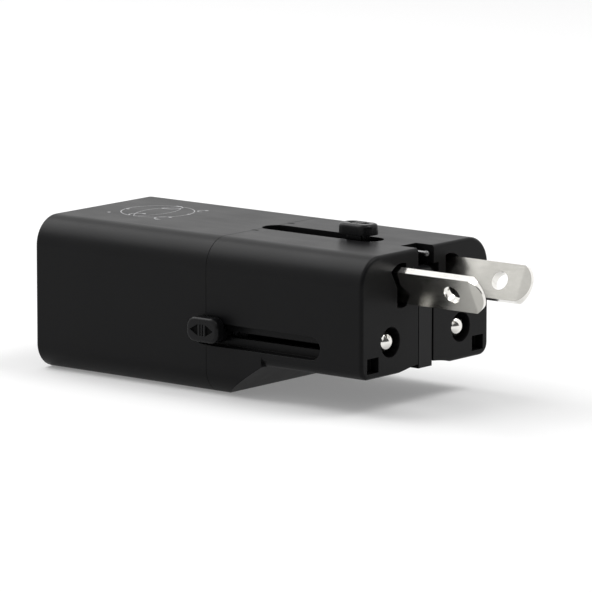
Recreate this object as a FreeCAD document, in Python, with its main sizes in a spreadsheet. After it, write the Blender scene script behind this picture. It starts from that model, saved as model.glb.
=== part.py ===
"""Universal travel adapter: slide-out US/AU blades, slide-out round pins and a flip-out earth pin.

The adapter lies on its foot. +X points out of the plug face, +Y to its left and +Z up. The origin is the
middle of the foot, on the surface that the adapter stands on. Sizes are in millimetres.
"""
import FreeCAD, Part
import math
import os
import re

import Sketcher

Vector = FreeCAD.Vector
doc = FreeCAD.newDocument("TravelAdapter")
sheet = doc.addObject("Spreadsheet::Sheet", "sizes")
aliases = []


def size(alias, number):
    """Give one driving dimension a cell of its own in the sheet."""
    aliases.append(alias)
    cell = f"B{len(aliases)}"
    sheet.set(f"A{len(aliases)}", alias)
    sheet.set(cell, str(number))
    sheet.setAlias(cell, alias)


# Outer shape: a slab with a step under its plug end.
size("rear_face", -20.5)
size("seam", 17.8)
size("plug_face", 51.0)
size("half_width", 17.15)
size("top", 26.4)
size("step", 6.0)
size("foot_end", 20.5)
size("ramp_end", 29.7)
size("top_radius", 5.0)
size("foot_radius", 4.4)
size("belly_radius", 2.0)
size("heel_radius", 4.0)
size("rim_radius", 0.6)
size("wall", 1.8)
size("inner_radius", 2.8)
size("face_wall", 2.2)
size("play", 0.3)
size("overcut", 1.0)

# Grooves that the two slider knobs run in, one on top and one on the right-hand side.
size("top_groove_half", 2.45)
size("side_groove_half", 1.98)
size("groove_depth", 2.0)
size("groove_floor", 1.2)
size("groove_lip", 1.0)
size("slit_half", 0.5)
size("top_groove_rear", 16.5)
size("top_groove_front", 41.5)
size("side_groove_rear", 15.2)
size("side_groove_front", 42.3)
size("side_groove_level", 10.43)
size("slit_inset_rear", 0.3)
size("slit_inset_front", 1.0)

# Knobs: a round-cornered cap on a stem, with a tongue through the slit. The side knob's cap sits high.
size("cap_half_long", 3.4)
size("cap_half_wide", 2.15)
size("cap_corner", 1.6)
size("cap_lift", 0.75)
size("cap_thick", 1.85)
size("cap_edge", 0.45)
size("cap_mark", 0.2)
size("cap_rise", 0.97)
size("mark_bar_near", 0.2)
size("mark_bar_far", 0.45)
size("mark_arrow_near", 0.85)
size("mark_arrow_tip", 2.35)
size("mark_half", 1.1)
size("stem_half_long", 1.6)
size("stem_half_wide", 1.3)
size("tongue_half_long", 1.5)
size("tongue_half_wide", 0.42)
size("screw_radius", 0.3)
size("screw_head", 1.0)
size("screw_head_thick", 0.6)
size("drive_reach", 0.6)
size("drive_half", 0.12)
size("blade_knob_place", 36.7)
size("pin_knob_place", 19.4)

# Flat blades, at rest twisted with their tops apart.
size("blade_side", 6.5)
size("blade_level", 20.75)
size("blade_reach", 17.0)
size("blade_half", 3.175)
size("blade_thick", 1.5)
size("blade_tip_rise", 1.8)
size("blade_tip_edge", 0.6)
size("blade_hole", 1.575)
size("blade_hole_back", 10.95)
size("blade_twist", 26.0)
size("blade_root", 44.5)
size("trunnion", 1.8)
size("trunnion_end", 38.5)
size("running", 0.05)
size("collar_radius", 3.2)
size("collar_rear", 44.8)
size("collar_front", 47.6)
size("clip_radius", 2.8)
size("clip_thick", 0.7)
size("blade_slot_half", 3.75)
size("blade_slot_gap", 0.45)
size("blade_overtwist", 4.0)
size("collar_play", 0.15)
size("clip_gap", 0.1)

# Carriage of the blades.
size("blade_bar_rear", 39.6)
size("blade_bar_front", 44.3)
size("blade_bar_half", 10.5)
size("blade_bar_low", 17.2)
size("blade_bar_high", 22.9)
size("blade_notch_rear", 41.8)
size("blade_notch_half", 3.35)
size("tray_rear", 34.2)
size("tray_half", 3.3)
size("tray_low", 21.2)

# Round pins and their carriage.
size("pin_side", 9.5)
size("pin_level", 11.6)
size("pin_radius", 2.0)
size("pin_tip", 50.95)
size("pin_tail", 17.6)
size("pin_neck", 1.5)
size("pin_sleeve_front", 41.5)
size("well_radius", 2.55)
size("guide_rear", 44.5)
size("guide_radius", 3.2)
size("pin_bar_rear", 17.6)
size("pin_bar_front", 23.2)
size("pin_bar_half", 13.0)
size("pin_bar_low", 8.6)
size("pin_bar_high", 14.6)
size("arm_thick", 4.1)
size("arm_low", 8.9)
size("arm_high", 12.9)
size("arm_step", 0.5)

# Flip-out earth pin in its channel, and the latch pockets beside it.
size("earth_half", 1.8)
size("earth_back", 43.4)
size("earth_front", 50.9)
size("earth_low", 6.1)
size("earth_high", 23.0)
size("earth_end_radius", 1.2)
size("channel_half", 2.1)
size("channel_back", 43.0)
size("channel_wall", 0.8)
size("channel_top_back", 47.25)
size("hinge_place", 49.2)
size("hinge_level", 21.6)
size("hinge_radius", 0.6)
size("hinge_half", 4.3)
size("ear_radius", 1.25)
size("ear_half", 3.3)
size("ear_pocket_half", 3.45)
size("ear_pocket_low", 19.9)
size("ear_pocket_high", 23.4)
size("wire_radius", 0.33)
size("wire_side", 0.84)
size("wire_level", 25.15)
size("wire_back", 45.5)
size("wire_end_gap", 0.6)
size("wire_eye", 0.5)
size("latch_side", 14.15)
size("latch_level", 8.3)
size("latch_half_wide", 1.53)
size("latch_half_high", 1.28)
size("latch_depth", 1.7)
size("scoop_half", 7.2)
size("scoop_rise", 0.95)
size("scoop_back", 3.5)

# Inner walls, click springs and the current path.
size("partition_rear", 15.0)
size("partition_front", 16.4)
size("divider_low", 15.2)
size("divider_high", 16.0)
size("divider_half", 12.5)
size("divider_front", 42.2)
size("spring_thick", 0.35)
size("spring_foot", 1.0)
size("spring_stand", 0.5)
size("blade_spring_rear", 20.0)
size("blade_spring_front", 38.0)
size("blade_spring_near", -1.0)
size("blade_spring_far", -4.0)
size("pin_spring_rear", 19.0)
size("pin_spring_front", 41.0)
size("pin_spring_side", 14.0)
size("pin_spring_low", 10.0)
size("pin_spring_high", 13.0)
size("wiper_thick", 0.6)
size("wiper_half", 2.0)
size("wiper_arm_near", 3.5)
size("wiper_arm_far", 4.0)
size("wiper_pad_low", 16.5)
size("wiper_pad_high", 17.7)
size("wiper_gap", 0.15)
size("leaf_thick", 0.25)
size("leaf_half", 2.6)
size("leaf_low", 17.95)
size("leaf_middle", 19.1)
size("leaf_high", 22.5)
size("busbar_inner", 14.55)
size("busbar_low", 16.2)
size("busbar_high", 19.2)
size("busbar_rear", -2.6)
size("busbar_front", 46.0)

# Outlet in the rear face.
size("panel_thick", 3.0)
size("panel_play", 0.1)
size("outlet_level", 14.0)
size("outlet_round_side", 9.5)
size("outlet_round", 2.6)
size("outlet_flat_side", 6.35)
size("outlet_flat_half", 1.0)
size("outlet_flat_tall", 3.6)
size("outlet_bridge", 2.2)
size("outlet_slant", 30.0)
size("contact_inner", 4.7)
size("contact_outer", 12.4)
size("contact_leaf", 0.6)
size("contact_rear", -15.5)
size("contact_front", -2.6)
size("contact_low", 11.0)
size("contact_high", 17.0)
size("panel_screw_radius", 1.25)
size("panel_screw_head", 2.2)
size("panel_screw_low", 6.0)
size("panel_screw_high", 21.6)
size("panel_screw_end", -13.0)
size("screw_post_half", 2.0)
size("partition_step", 1.0)

# Charger board and what stands on it.
size("board_rear", -13.8)
size("board_front", 14.5)
size("board_half", 13.5)
size("board_low", 2.8)
size("board_high", 4.0)
size("rail_half", 1.0)
size("rail_side", 11.0)
size("port_middle", 7.5)
size("port_half_wide", 6.6)
size("port_half_high", 2.9)
size("port_mouth", 16.75)
size("port_back", 2.75)
size("port_skin", 0.35)
size("port_low_level", 6.9)
size("port_high_level", 13.1)
size("port_play", 0.2)
size("tongue_root", 5.0)
size("tongue_tip", 15.2)
size("tongue_wide", 5.5)
size("port_tongue_low", 0.2)
size("port_tongue_thick", 1.84)
size("spacer_back", 3.0)
size("core_rear", 1.5)
size("core_front", 12.5)
size("core_left", -2.5)
size("core_right", -12.0)
size("core_low", 4.0)
size("core_high", 16.0)
size("core_leg", 2.2)
size("coil_overhang", 1.0)
size("coil_tape", 0.3)
size("big_capacitor", 3.9)
size("big_capacitor_place", -6.5)
size("big_capacitor_top", 17.5)
size("small_capacitor", 2.05)
size("small_capacitor_top", 14.0)
size("small_capacitor_side", 0.62)
size("small_capacitor_first", 4.0)
size("small_capacitor_second", 10.0)

# Fuse in its holder above the outlet contacts.
size("fuse_side", -8.0)
size("fuse_level", 21.7)
size("fuse_rear", -14.0)
size("fuse_front", 6.0)
size("fuse_glass", 2.3)
size("fuse_cap", 2.5)
size("fuse_cap_long", 5.0)
size("fuse_inset", 0.5)
size("clip_grip", 1.0)
size("clip_mouth", 3.0)
size("holder_half", 3.0)
size("holder_low", 17.0)
size("holder_high", 18.2)
size("clip_half", 1.6)
size("clip_wall", 0.4)
doc.recompute()


def bound(formula):
    """Turn the words of a formula into references to cells of the sheet."""
    return re.sub(r"[a-z_]+", lambda word: f"sizes.{word[0]}" if word[0] in aliases else word[0], formula)


def value(formula):
    """Read a formula's present value, for shapes and sketch guesses that need a number."""
    return float(sheet.evalExpression(bound(formula)))


def place(solid, x, y, z):
    """Bind a solid's place to the sheet."""
    for axis, formula in zip("xyz", (x, y, z)):
        solid.setExpression(f"Placement.Base.{axis}", bound(formula))


def box(label, x, y, z):
    """A block between two planes each way, each given as a pair of formulas."""
    solid = doc.addObject("Part::Box", label)
    for side, (low, high) in zip(("Length", "Width", "Height"), (x, y, z)):
        solid.setExpression(side, bound(f"({high}) - ({low})"))
    place(solid, x[0], y[0], z[0])
    return solid


TURNS = {
    "x": FreeCAD.Rotation(Vector(0, 1, 0), 90),
    "y": FreeCAD.Rotation(Vector(1, 0, 0), -90),
    "z": FreeCAD.Rotation(),
}


def rod(label, axis, radius, span, middle):
    """A round bar along one axis, from span's low end to its high end."""
    solid = doc.addObject("Part::Cylinder", label)
    solid.Placement = FreeCAD.Placement(Vector(), TURNS[axis])
    solid.setExpression("Radius", bound(radius))
    solid.setExpression("Height", bound(f"({span[1]}) - ({span[0]})"))
    first, second = middle
    start = {"x": (span[0], first, second), "y": (first, span[0], second), "z": (first, second, span[0])}
    place(solid, *start[axis])
    return solid


def join(label, *solids):
    """Several solids fused into one."""
    solid = doc.addObject("Part::MultiFuse", label)
    solid.Shapes = list(solids)
    solid.Refine = True
    return solid


def cut(label, base, *tools):
    """A solid with one or more others taken out of it."""
    solid = doc.addObject("Part::Cut", label)
    solid.Base = base
    solid.Tool = tools[0] if len(tools) == 1 else join(f"{label}_tools", *tools)
    return solid


def group(label, *solids):
    """Like pieces that share one node and stay separate solids."""
    solid = doc.addObject("Part::Compound", label)
    solid.Links = list(solids)
    return solid


def new_sketch(body, role, name, offset="0"):
    """A sketch on one of a body's own origin planes, moved along its normal by offset."""
    plane = next(item for item in body.Origin.OriginFeatures if item.Role == role)
    sketch = body.newObject("Sketcher::SketchObject", name)
    sketch.AttachmentSupport = (plane, [""])
    sketch.MapMode = "FlatFace"
    sketch.setExpression("AttachmentOffset.Base.z", bound(offset))
    return sketch


def pin_point(sketch, curve, end, across, up):
    """Hold one end of a sketch line at two formulas, measured from the sketch's origin."""
    for kind, formula in (("DistanceX", across), ("DistanceY", up)):
        number = sketch.addConstraint(Sketcher.Constraint(kind, -1, 1, curve, end, value(formula)))
        sketch.setExpression(f"Constraints[{number}]", bound(formula))


def polygon(sketch, corners, first=0):
    """A closed outline of straight lines through corners given as pairs of formulas.

    first is the number of lines that the sketch already holds. The new number is returned.
    """
    points = [Vector(value(across), value(up), 0) for across, up in corners]
    count = len(points)
    for number in range(count):
        sketch.addGeometry(Part.LineSegment(points[number], points[(number + 1) % count]), False)
    for number in range(count):
        following = first + (number + 1) % count
        sketch.addConstraint(Sketcher.Constraint("Coincident", first + number, 2, following, 1))
    for number, (across, up) in enumerate(corners):
        pin_point(sketch, first + number, 1, across, up)
    return first + count


def rectangle(sketch, across, up):
    """A closed rectangle between two formulas each way."""
    corners = [(across[0], up[0]), (across[1], up[0]), (across[1], up[1]), (across[0], up[1])]
    polygon(sketch, corners)


def circle(sketch, across, up, radius):
    """A circle whose middle and radius are held by formulas."""
    middle = Vector(value(across), value(up), 0)
    number = sketch.addGeometry(Part.Circle(middle, Vector(0, 0, 1), value(radius)), False)
    pin_point(sketch, number, 3, across, up)
    held = sketch.addConstraint(Sketcher.Constraint("Radius", number, value(radius)))
    sketch.setExpression(f"Constraints[{held}]", bound(radius))


def pad(body, sketch, length, both_ways=False, kind="PartDesign::Pad"):
    """Grow a sketch into a solid, or with a Pocket take it out."""
    feature = body.newObject(kind, f"{sketch.Name}_{kind[12:].lower()}")
    feature.Profile = sketch
    feature.setExpression("Length", bound(length))
    if both_ways:
        feature.Midplane = True
    doc.recompute()
    return feature


def pocket(body, sketch, length, both_ways=False):
    """Take a sketch's outline out of a body, and make sure that it does cut."""
    before = body.Shape.Volume
    feature = pad(body, sketch, length, both_ways, "PartDesign::Pocket")
    if abs(body.Shape.Volume - before) < 1e-6:
        feature.Reversed = True
        doc.recompute()
    if body.Shape.Volume > before - 1e-6:
        raise RuntimeError(f"{feature.Name} takes nothing away")
    return feature


def edges_where(shape, test, along=None):
    """Names of the edges whose end points all pass a test, and that run along one axis if it is given."""
    names = []
    for number, edge in enumerate(shape.Edges, 1):
        ends = [vertex.Point for vertex in edge.Vertexes]
        run = ends[-1] - ends[0]
        straight = along is None or abs(getattr(run, along)) > run.Length - 1e-4 > 0
        if straight and all(test(point) for point in ends):
            names.append(f"Edge{number}")
    return names


def soften(body, test, radius, along=None, kind="PartDesign::Fillet"):
    """Round, or with Chamfer bevel, every edge that passes a test."""
    base = body.Tip
    names = edges_where(base.Shape, test, along)
    if not names:
        raise RuntimeError(f"{body.Label}: no edge to soften")
    feature = body.newObject(kind, f"{body.Name}_{kind[12:].lower()}")
    feature.Base = (base, names)
    feature.setExpression("Radius" if kind.endswith("Fillet") else "Size", bound(radius))
    doc.recompute()
    return feature


def near(one, other):
    """Whether two lengths are the same."""
    return abs(one - other) < 1e-4


def groove_tools(label, side):
    """The groove of a slider knob and the slit in its floor, as one cutting solid with round ends.

    side is "top" for the groove along the top and "side" for the one along the right-hand wall.
    """
    on_top = side == "top"
    run = (f"{side}_groove_rear", f"{side}_groove_front")
    slit = (f"{run[0]} + slit_inset_rear", f"{run[1]} - slit_inset_front")
    if on_top:
        depth = ("top - groove_depth", "top + overcut")
        through = ("top - groove_depth - groove_floor - overcut", "top")
        middle = "0"
    else:
        depth = ("-half_width - overcut", "groove_depth - half_width")
        through = ("-half_width", "groove_depth + groove_floor + overcut - half_width")
        middle = "side_groove_level"
    pieces = []
    shapes = (("groove", run, f"{side}_groove_half", depth), ("slit", slit, "slit_half", through))
    for name, ends, half, across in shapes:
        low, high = (f"{ends[0]} + {half}", f"{ends[1]} - {half}")
        width = (f"{middle} - {half}", f"{middle} + {half}")
        spans = (width, across) if on_top else (across, width)
        pieces.append(box(f"{label}_{name}", (low, high), *spans))
        for number, end in enumerate((low, high)):
            pieces.append(rod(f"{label}_{name}_end_{number}", "z" if on_top else "y", half, across,
                              (end, middle)))
    return join(f"{label}_cutter", *pieces)


# Front housing: one moulding with the plug face, the ramp down to the foot, both grooves and the channel.
front = doc.addObject("PartDesign::Body", "front_shell")
front.Placement = FreeCAD.Placement(Vector(value("seam"), 0, 0), FreeCAD.Rotation())
front.setExpression("Placement.Base.x", bound("seam"))
nose = new_sketch(front, "YZ_Plane", "nose_outline")
rectangle(nose, ("-half_width", "half_width"), ("step", "top"))
pad(front, nose, "plug_face - seam")
soften(front, lambda p: near(p.z, value("step")) and near(abs(p.y), value("half_width")), "belly_radius", "x")
heel = new_sketch(front, "YZ_Plane", "heel_outline")
rectangle(heel, ("-half_width", "half_width"), ("0", "top"))
pad(front, heel, "ramp_end - seam")
soften(front, lambda p: near(p.z, 0) and near(abs(p.y), value("half_width")), "foot_radius", "x")
soften(front, lambda p: near(p.z, value("top")) and near(abs(p.y), value("half_width")), "top_radius", "x")
soften(front, lambda p: near(p.x, value("plug_face - seam")), "rim_radius")
hollow = new_sketch(front, "YZ_Plane", "hollow_outline")
rectangle(hollow, ("wall - half_width", "half_width - wall"), ("step + wall", "top - wall"))
pocket(front, hollow, "plug_face - seam - face_wall")
soften(front, lambda p: near(p.z, value("top - wall")), "inner_radius", "x")
heel_hollow = new_sketch(front, "YZ_Plane", "heel_hollow_outline")
rectangle(heel_hollow, ("wall - half_width + foot_radius / 2", "half_width - wall - foot_radius / 2"),
          ("wall", "step + 2 * wall"))
pocket(front, heel_hollow, "wall + overcut")

# The moulding's ribs: the floors of both grooves, the channel's walls and the sleeves that guide the pins.
groove_pan = "(groove_depth + groove_floor)"
top_pan_width = ("-top_groove_half - groove_lip", "top_groove_half + groove_lip")
top_pan_depth = (f"top - {groove_pan}", "top - wall / 2")
top_pan_front = box("top_pan_front", ("seam", "top_groove_front + groove_lip"), top_pan_width, top_pan_depth)
pan_level = ("side_groove_level - side_groove_half - groove_lip",
             "side_groove_level + side_groove_half + groove_lip")
pan_depth = ("wall / 2 - half_width", f"{groove_pan} - half_width")
side_pan_front = box("side_pan_front", ("seam", "side_groove_front + groove_lip"), pan_depth, pan_level)
channel_walls = box("channel_walls", ("channel_back - channel_wall", "plug_face - face_wall / 2"),
                    ("-channel_half - channel_wall", "channel_half + channel_wall"),
                    ("step + wall / 2", "top - wall / 2"))
sleeves = [
    rod(f"sleeve_{number}", "x", "guide_radius", ("guide_rear", "plug_face - face_wall / 2"),
        (side, "pin_level"))
    for number, side in enumerate(("-pin_side", "pin_side"))
]
front_solid = join("front_solid", front, top_pan_front, side_pan_front, channel_walls, *sleeves)


def ramp_shape():
    """What is missing under the plug end: the wedge below the ramp, with the heel's rounding."""
    angle = math.atan2(value("step"), value("ramp_end - foot_end"))
    radius = value("heel_radius")
    reach = radius * math.tan(angle / 2)
    foot_end = value("foot_end")
    below = -value("overcut")
    beyond = value("ramp_end + overcut")
    start = Vector(foot_end - reach, 0, 0)
    middle = Vector(start.x + radius * math.sin(angle / 2), 0, radius * (1 - math.cos(angle / 2)))
    end = Vector(foot_end + reach * math.cos(angle), 0, reach * math.sin(angle))
    rest = [
        Vector(value("ramp_end"), 0, value("step")),
        Vector(beyond, 0, value("step")),
        Vector(beyond, 0, below),
        Vector(start.x, 0, below),
        start,
    ]
    wire = Part.Wire([Part.Arc(start, middle, end).toShape(), *Part.makePolygon([end] + rest).Edges])
    wedge = Part.Face(wire).extrude(Vector(0, 4 * value("half_width"), 0))
    wedge.translate(Vector(0, -2 * value("half_width"), 0))
    return wedge


ramp = doc.addObject("Part::Feature", "ramp_wedge")
ramp.Shape = ramp_shape()
channel = box("channel", ("channel_back", "plug_face + overcut"), ("-channel_half", "channel_half"),
              ("step - overcut", "earth_high + overcut"))
channel_mouth = box("channel_mouth", ("channel_top_back", "plug_face + overcut"),
                    ("-channel_half", "channel_half"), ("earth_high", "top + overcut"))
ear_pocket = box("ear_pocket", ("hinge_place - ear_radius - play", "plug_face + overcut"),
                 ("-ear_pocket_half", "ear_pocket_half"), ("ear_pocket_low", "ear_pocket_high"))
hinge_axis = ("hinge_place", "hinge_level")
hinge_bore = rod("hinge_bore", "y", "hinge_radius", ("-hinge_half", "hinge_half"), hinge_axis)
wire_bore = rod("wire_bore", "x", "wire_radius", ("wire_back", "channel_top_back + overcut"),
                ("wire_side", "wire_level"))
latches = [
    box(f"latch_pocket_{number}", ("plug_face - latch_depth", "plug_face + overcut"),
        (f"{side} - latch_half_wide", f"{side} + latch_half_wide"),
        ("latch_level - latch_half_high", "latch_level + latch_half_high"))
    for number, side in enumerate(("-latch_side", "latch_side"))
]
wells = [
    rod(f"well_{number}", "x", "well_radius", ("plug_face - face_wall", "plug_face + overcut"),
        (side, "pin_level"))
    for number, side in enumerate(("-pin_side", "pin_side"))
]
guides = [
    rod(f"guide_{number}", "x", "pin_radius + running", ("guide_rear - overcut", "plug_face"),
        (side, "pin_level"))
    for number, side in enumerate(("-pin_side", "pin_side"))
]


def slot_sector(label, mirror):
    """An upright slot joined to the sector that a blade sweeps as it twists, on one side (1 or -1)."""
    reach = value("blade_slot_half")
    half = value("blade_thick / 2 + blade_slot_gap")
    depth = value("face_wall + 2 * overcut")
    back = value("plug_face - face_wall - overcut")
    middle = Vector(back, mirror * value("blade_side"), value("blade_level"))
    swept = None
    twist = value("blade_twist")
    for angle in (0.0, twist / 3, twist * 2 / 3, value("blade_twist + blade_overtwist")):
        slab = Part.makeBox(depth, 2 * half, 2 * reach, middle - Vector(0, half, reach))
        slab.rotate(middle, Vector(1, 0, 0), -mirror * angle)
        swept = slab if swept is None else swept.fuse(slab)
    rim = Part.makeCylinder(reach, depth, middle, Vector(1, 0, 0))
    feature = doc.addObject("Part::Feature", label)
    feature.Shape = swept.common(rim).removeSplitter()
    return feature


slots = [slot_sector("left_slot_sector", -1), slot_sector("right_slot_sector", 1)]
scoop = doc.addObject("Part::Feature", "thumb_scoop")
scoop_radius = (value("scoop_half") ** 2 + value("scoop_rise") ** 2) / (2 * value("scoop_rise"))
scoop.Shape = Part.makeCylinder(
    scoop_radius, value("scoop_back + overcut"),
    Vector(value("plug_face - scoop_back"), 0, value("step + scoop_rise") - scoop_radius), Vector(1, 0, 0))
top_cutter = groove_tools("top_groove", "top")
side_cutter = groove_tools("side_groove", "side")
front_housing = cut("front_housing", front_solid, ramp, channel, channel_mouth, ear_pocket,
                    hinge_bore, wire_bore, *latches, *wells, *guides, *slots, scoop, top_cutter, side_cutter)
doc.recompute()

# Rear housing: a rounded tube that the outlet panel closes, with a window for the two charging ports.
rear = doc.addObject("PartDesign::Body", "rear_shell")
rear.setExpression("Placement.Base.x", bound("rear_face"))
slab = new_sketch(rear, "YZ_Plane", "slab_outline")
rectangle(slab, ("-half_width", "half_width"), ("0", "top"))
pad(rear, slab, "seam - rear_face")
soften(rear, lambda p: near(p.z, value("top")), "top_radius", "x")
soften(rear, lambda p: near(p.z, 0), "foot_radius", "x")
bay = new_sketch(rear, "YZ_Plane", "bay_outline")
rectangle(bay, ("wall - half_width", "half_width - wall"), ("wall", "top - wall"))
pocket(rear, bay, "seam - rear_face")
soften(rear, lambda p: near(abs(p.y), value("half_width - wall")), "inner_radius", "x")


def on_outside(point):
    """Whether a point of the rear shell lies on its outer surface."""
    inside = abs(point.y) < value("half_width - wall / 2")
    return not (inside and value("wall / 2") < point.z < value("top - wall / 2"))


soften(rear, lambda p: near(p.x, 0) and on_outside(p), "rim_radius")
rails = [
    box(f"rail_{number}", ("board_rear", "board_front"), (f"{side} - rail_half", f"{side} + rail_half"),
        ("wall / 2", "board_low"))
    for number, side in enumerate(("-rail_side", "rail_side"))
]
side_pan_rear = box("side_pan_rear", ("side_groove_rear - groove_lip", "seam"), pan_depth, pan_level)
top_pan_rear = box("top_pan_rear", ("top_groove_rear - groove_lip", "seam"), top_pan_width, top_pan_depth)
posts = [
    box(f"screw_post_{number}", ("panel_thick + rear_face", "panel_screw_end - overcut"),
        ("-panel_screw_head", "panel_screw_head"), levels)
    for number, levels in enumerate((("wall / 2", "panel_screw_low + screw_post_half"),
                                     ("panel_screw_high - screw_post_half", "top - wall / 2")))
]
rear_solid = join("rear_solid", rear, side_pan_rear, top_pan_rear, *rails, *posts)
windows = [
    box(f"port_window_{number}",
        ("port_middle - port_half_wide - port_play", "port_middle + port_half_wide + port_play"),
        ("half_width - wall - overcut", "half_width + overcut"),
        (f"{level} - port_half_high - port_play", f"{level} + port_half_high + port_play"))
    for number, level in enumerate(("port_low_level", "port_high_level"))
]
screw_levels = ("panel_screw_low", "panel_screw_high")
post_bores = [
    rod(f"post_bore_{number}", "x", "panel_screw_radius", ("rear_face", "panel_screw_end"), ("0", level))
    for number, level in enumerate(screw_levels)
]
rear_top_cutter = groove_tools("rear_top_groove", "top")
rear_side_cutter = groove_tools("rear_side_groove", "side")
rear_housing = cut("rear_housing", rear_solid, *windows, *post_bores, rear_top_cutter, rear_side_cutter)
doc.recompute()

# Outlet panel: it closes the rear end and takes flat, slanted and round pins.
panel = doc.addObject("PartDesign::Body", "panel_blank")
panel.setExpression("Placement.Base.x", bound("rear_face"))
plate = new_sketch(panel, "YZ_Plane", "plate_outline")
rectangle(plate, ("wall + panel_play - half_width", "half_width - wall - panel_play"),
          ("wall + panel_play", "top - wall - panel_play"))
pad(panel, plate, "panel_thick")
soften(panel, lambda p: True, "inner_radius", "x")
through = ("rear_face - overcut", "rear_face + panel_thick + overcut")
level = ("outlet_level - outlet_flat_tall", "outlet_level + outlet_flat_tall")
sockets = []
for number, mirror in enumerate((-1, 1)):
    inner, outer = sorted((f"{mirror} * outlet_flat_side", f"{mirror} * outlet_round_side"), key=value)
    flat_middle = f"{mirror} * outlet_flat_side"
    flat = (f"{flat_middle} - outlet_flat_half", f"{flat_middle} + outlet_flat_half")
    upright = box(f"upright_slot_{number}", through, flat, level)
    slanted = box(f"slanted_slot_{number}", through, ("-outlet_flat_half", "outlet_flat_half"),
                  ("-outlet_flat_tall", "outlet_flat_tall"))
    slanted.Placement.Rotation = FreeCAD.Rotation(Vector(1, 0, 0), mirror * value("outlet_slant"))
    turn = f"{mirror} * outlet_slant"
    place(slanted, "rear_face - overcut",
          f"{mirror} * outlet_flat_side - outlet_flat_half * cos({turn}) + outlet_flat_tall * sin({turn})",
          f"outlet_level - outlet_flat_half * sin({turn}) - outlet_flat_tall * cos({turn})")
    bridge = box(f"slot_bridge_{number}", through, (inner, outer),
                 ("outlet_level - outlet_bridge", "outlet_level + outlet_bridge"))
    hole = rod(f"round_hole_{number}", "x", "outlet_round", through,
               (f"{mirror} * outlet_round_side", "outlet_level"))
    sockets += [upright, slanted, bridge, hole]
screw_holes = [
    rod(f"panel_hole_{number}", "x", "panel_screw_radius + running", through, ("0", height))
    for number, height in enumerate(screw_levels)
]
sinks = [
    rod(f"panel_sink_{number}", "x", "panel_screw_head + running",
        ("rear_face - overcut", "rear_face + panel_thick / 2"), ("0", height))
    for number, height in enumerate(screw_levels)
]
outlet_panel = cut("outlet_panel", panel, *sockets, *screw_holes, *sinks)


def screw(label, axis, radius, head, head_span, shank_end, middle):
    """A pan-head screw with a cross recess, its head at head_span and its shank running on to shank_end."""
    low, high = head_span
    upwards = value(shank_end) > value(high)
    shank = (high, shank_end) if upwards else (shank_end, low)
    below = (f"{low} - overcut", f"{low} + {head} / 3")
    above = (f"{high} - {head} / 3", f"{high} + overcut")
    depth = below if upwards else above
    blank = join(f"{label}_blank", rod(f"{label}_head", axis, head, (low, high), middle),
                 rod(f"{label}_shank", axis, radius, shank, middle))
    long, thin = (
        [(f"{centre} - {head} * {half}", f"{centre} + {head} * {half}") for centre in middle]
        for half in ("drive_reach", "drive_half")
    )
    slots = []
    for number, (first, second) in enumerate(((thin[0], long[1]), (long[0], thin[1]))):
        spans = {"x": (depth, first, second), "y": (first, depth, second), "z": (first, second, depth)}
        slots.append(box(f"{label}_drive_{number}", *spans[axis]))
    return cut(f"{label}_solid", blank, *slots)


panel_screws = group("panel_screws", *[
    screw(f"panel_screw_{number}", "x", "panel_screw_radius", "panel_screw_head",
          ("rear_face + panel_play", "rear_face + panel_thick / 2"), "panel_screw_end", ("0", height))
    for number, height in enumerate(screw_levels)
])

# Inner walls: one across the middle, and one that keeps the two carriages apart.
partition_blank = box("partition_blank", ("partition_rear", "partition_front"),
                      ("-busbar_inner", "busbar_inner"),
                      ("board_high + partition_step", "top - groove_depth - wall"))
partition_relief = box("partition_relief", ("partition_rear - overcut", "partition_front + overcut"),
                       ("-half_width", "groove_depth + groove_floor + play - half_width"),
                       ("0", "divider_low + play"))
partition = cut("partition", partition_blank, partition_relief)
divider = box("divider", ("partition_front", "divider_front"), ("-divider_half", "divider_half"),
              ("divider_low", "divider_high"))


# Click springs: a flat strip on two feet under each carriage's path.
def click_spring(label, run, strip, foot):
    """A strip along run, given by its two spans across, with a foot of its own spans at each end."""
    ends = ((run[0], f"{run[0]} + spring_foot"), (f"{run[1]} - spring_foot", run[1]))
    feet = [box(f"{label}_foot_{number}", end, *foot) for number, end in enumerate(ends)]
    return join(label, box(f"{label}_strip", run, *strip), *feet)


blade_spring_width = ("blade_spring_far", "blade_spring_near")
spring_lift = "divider_high + spring_stand"
blade_detent_spring = click_spring(
    "blade_detent_spring", ("blade_spring_rear", "blade_spring_front"),
    (blade_spring_width, (spring_lift, f"{spring_lift} + spring_thick")),
    (blade_spring_width, ("divider_high", f"{spring_lift} + spring_thick / 3")))
pin_spring_height = ("pin_spring_low", "pin_spring_high")
pin_detent_spring = click_spring(
    "pin_detent_spring", ("pin_spring_rear", "pin_spring_front"),
    (("pin_spring_side", "pin_spring_side + spring_thick"), pin_spring_height),
    (("pin_spring_side + spring_thick / 3", "half_width - wall"), pin_spring_height))


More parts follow.
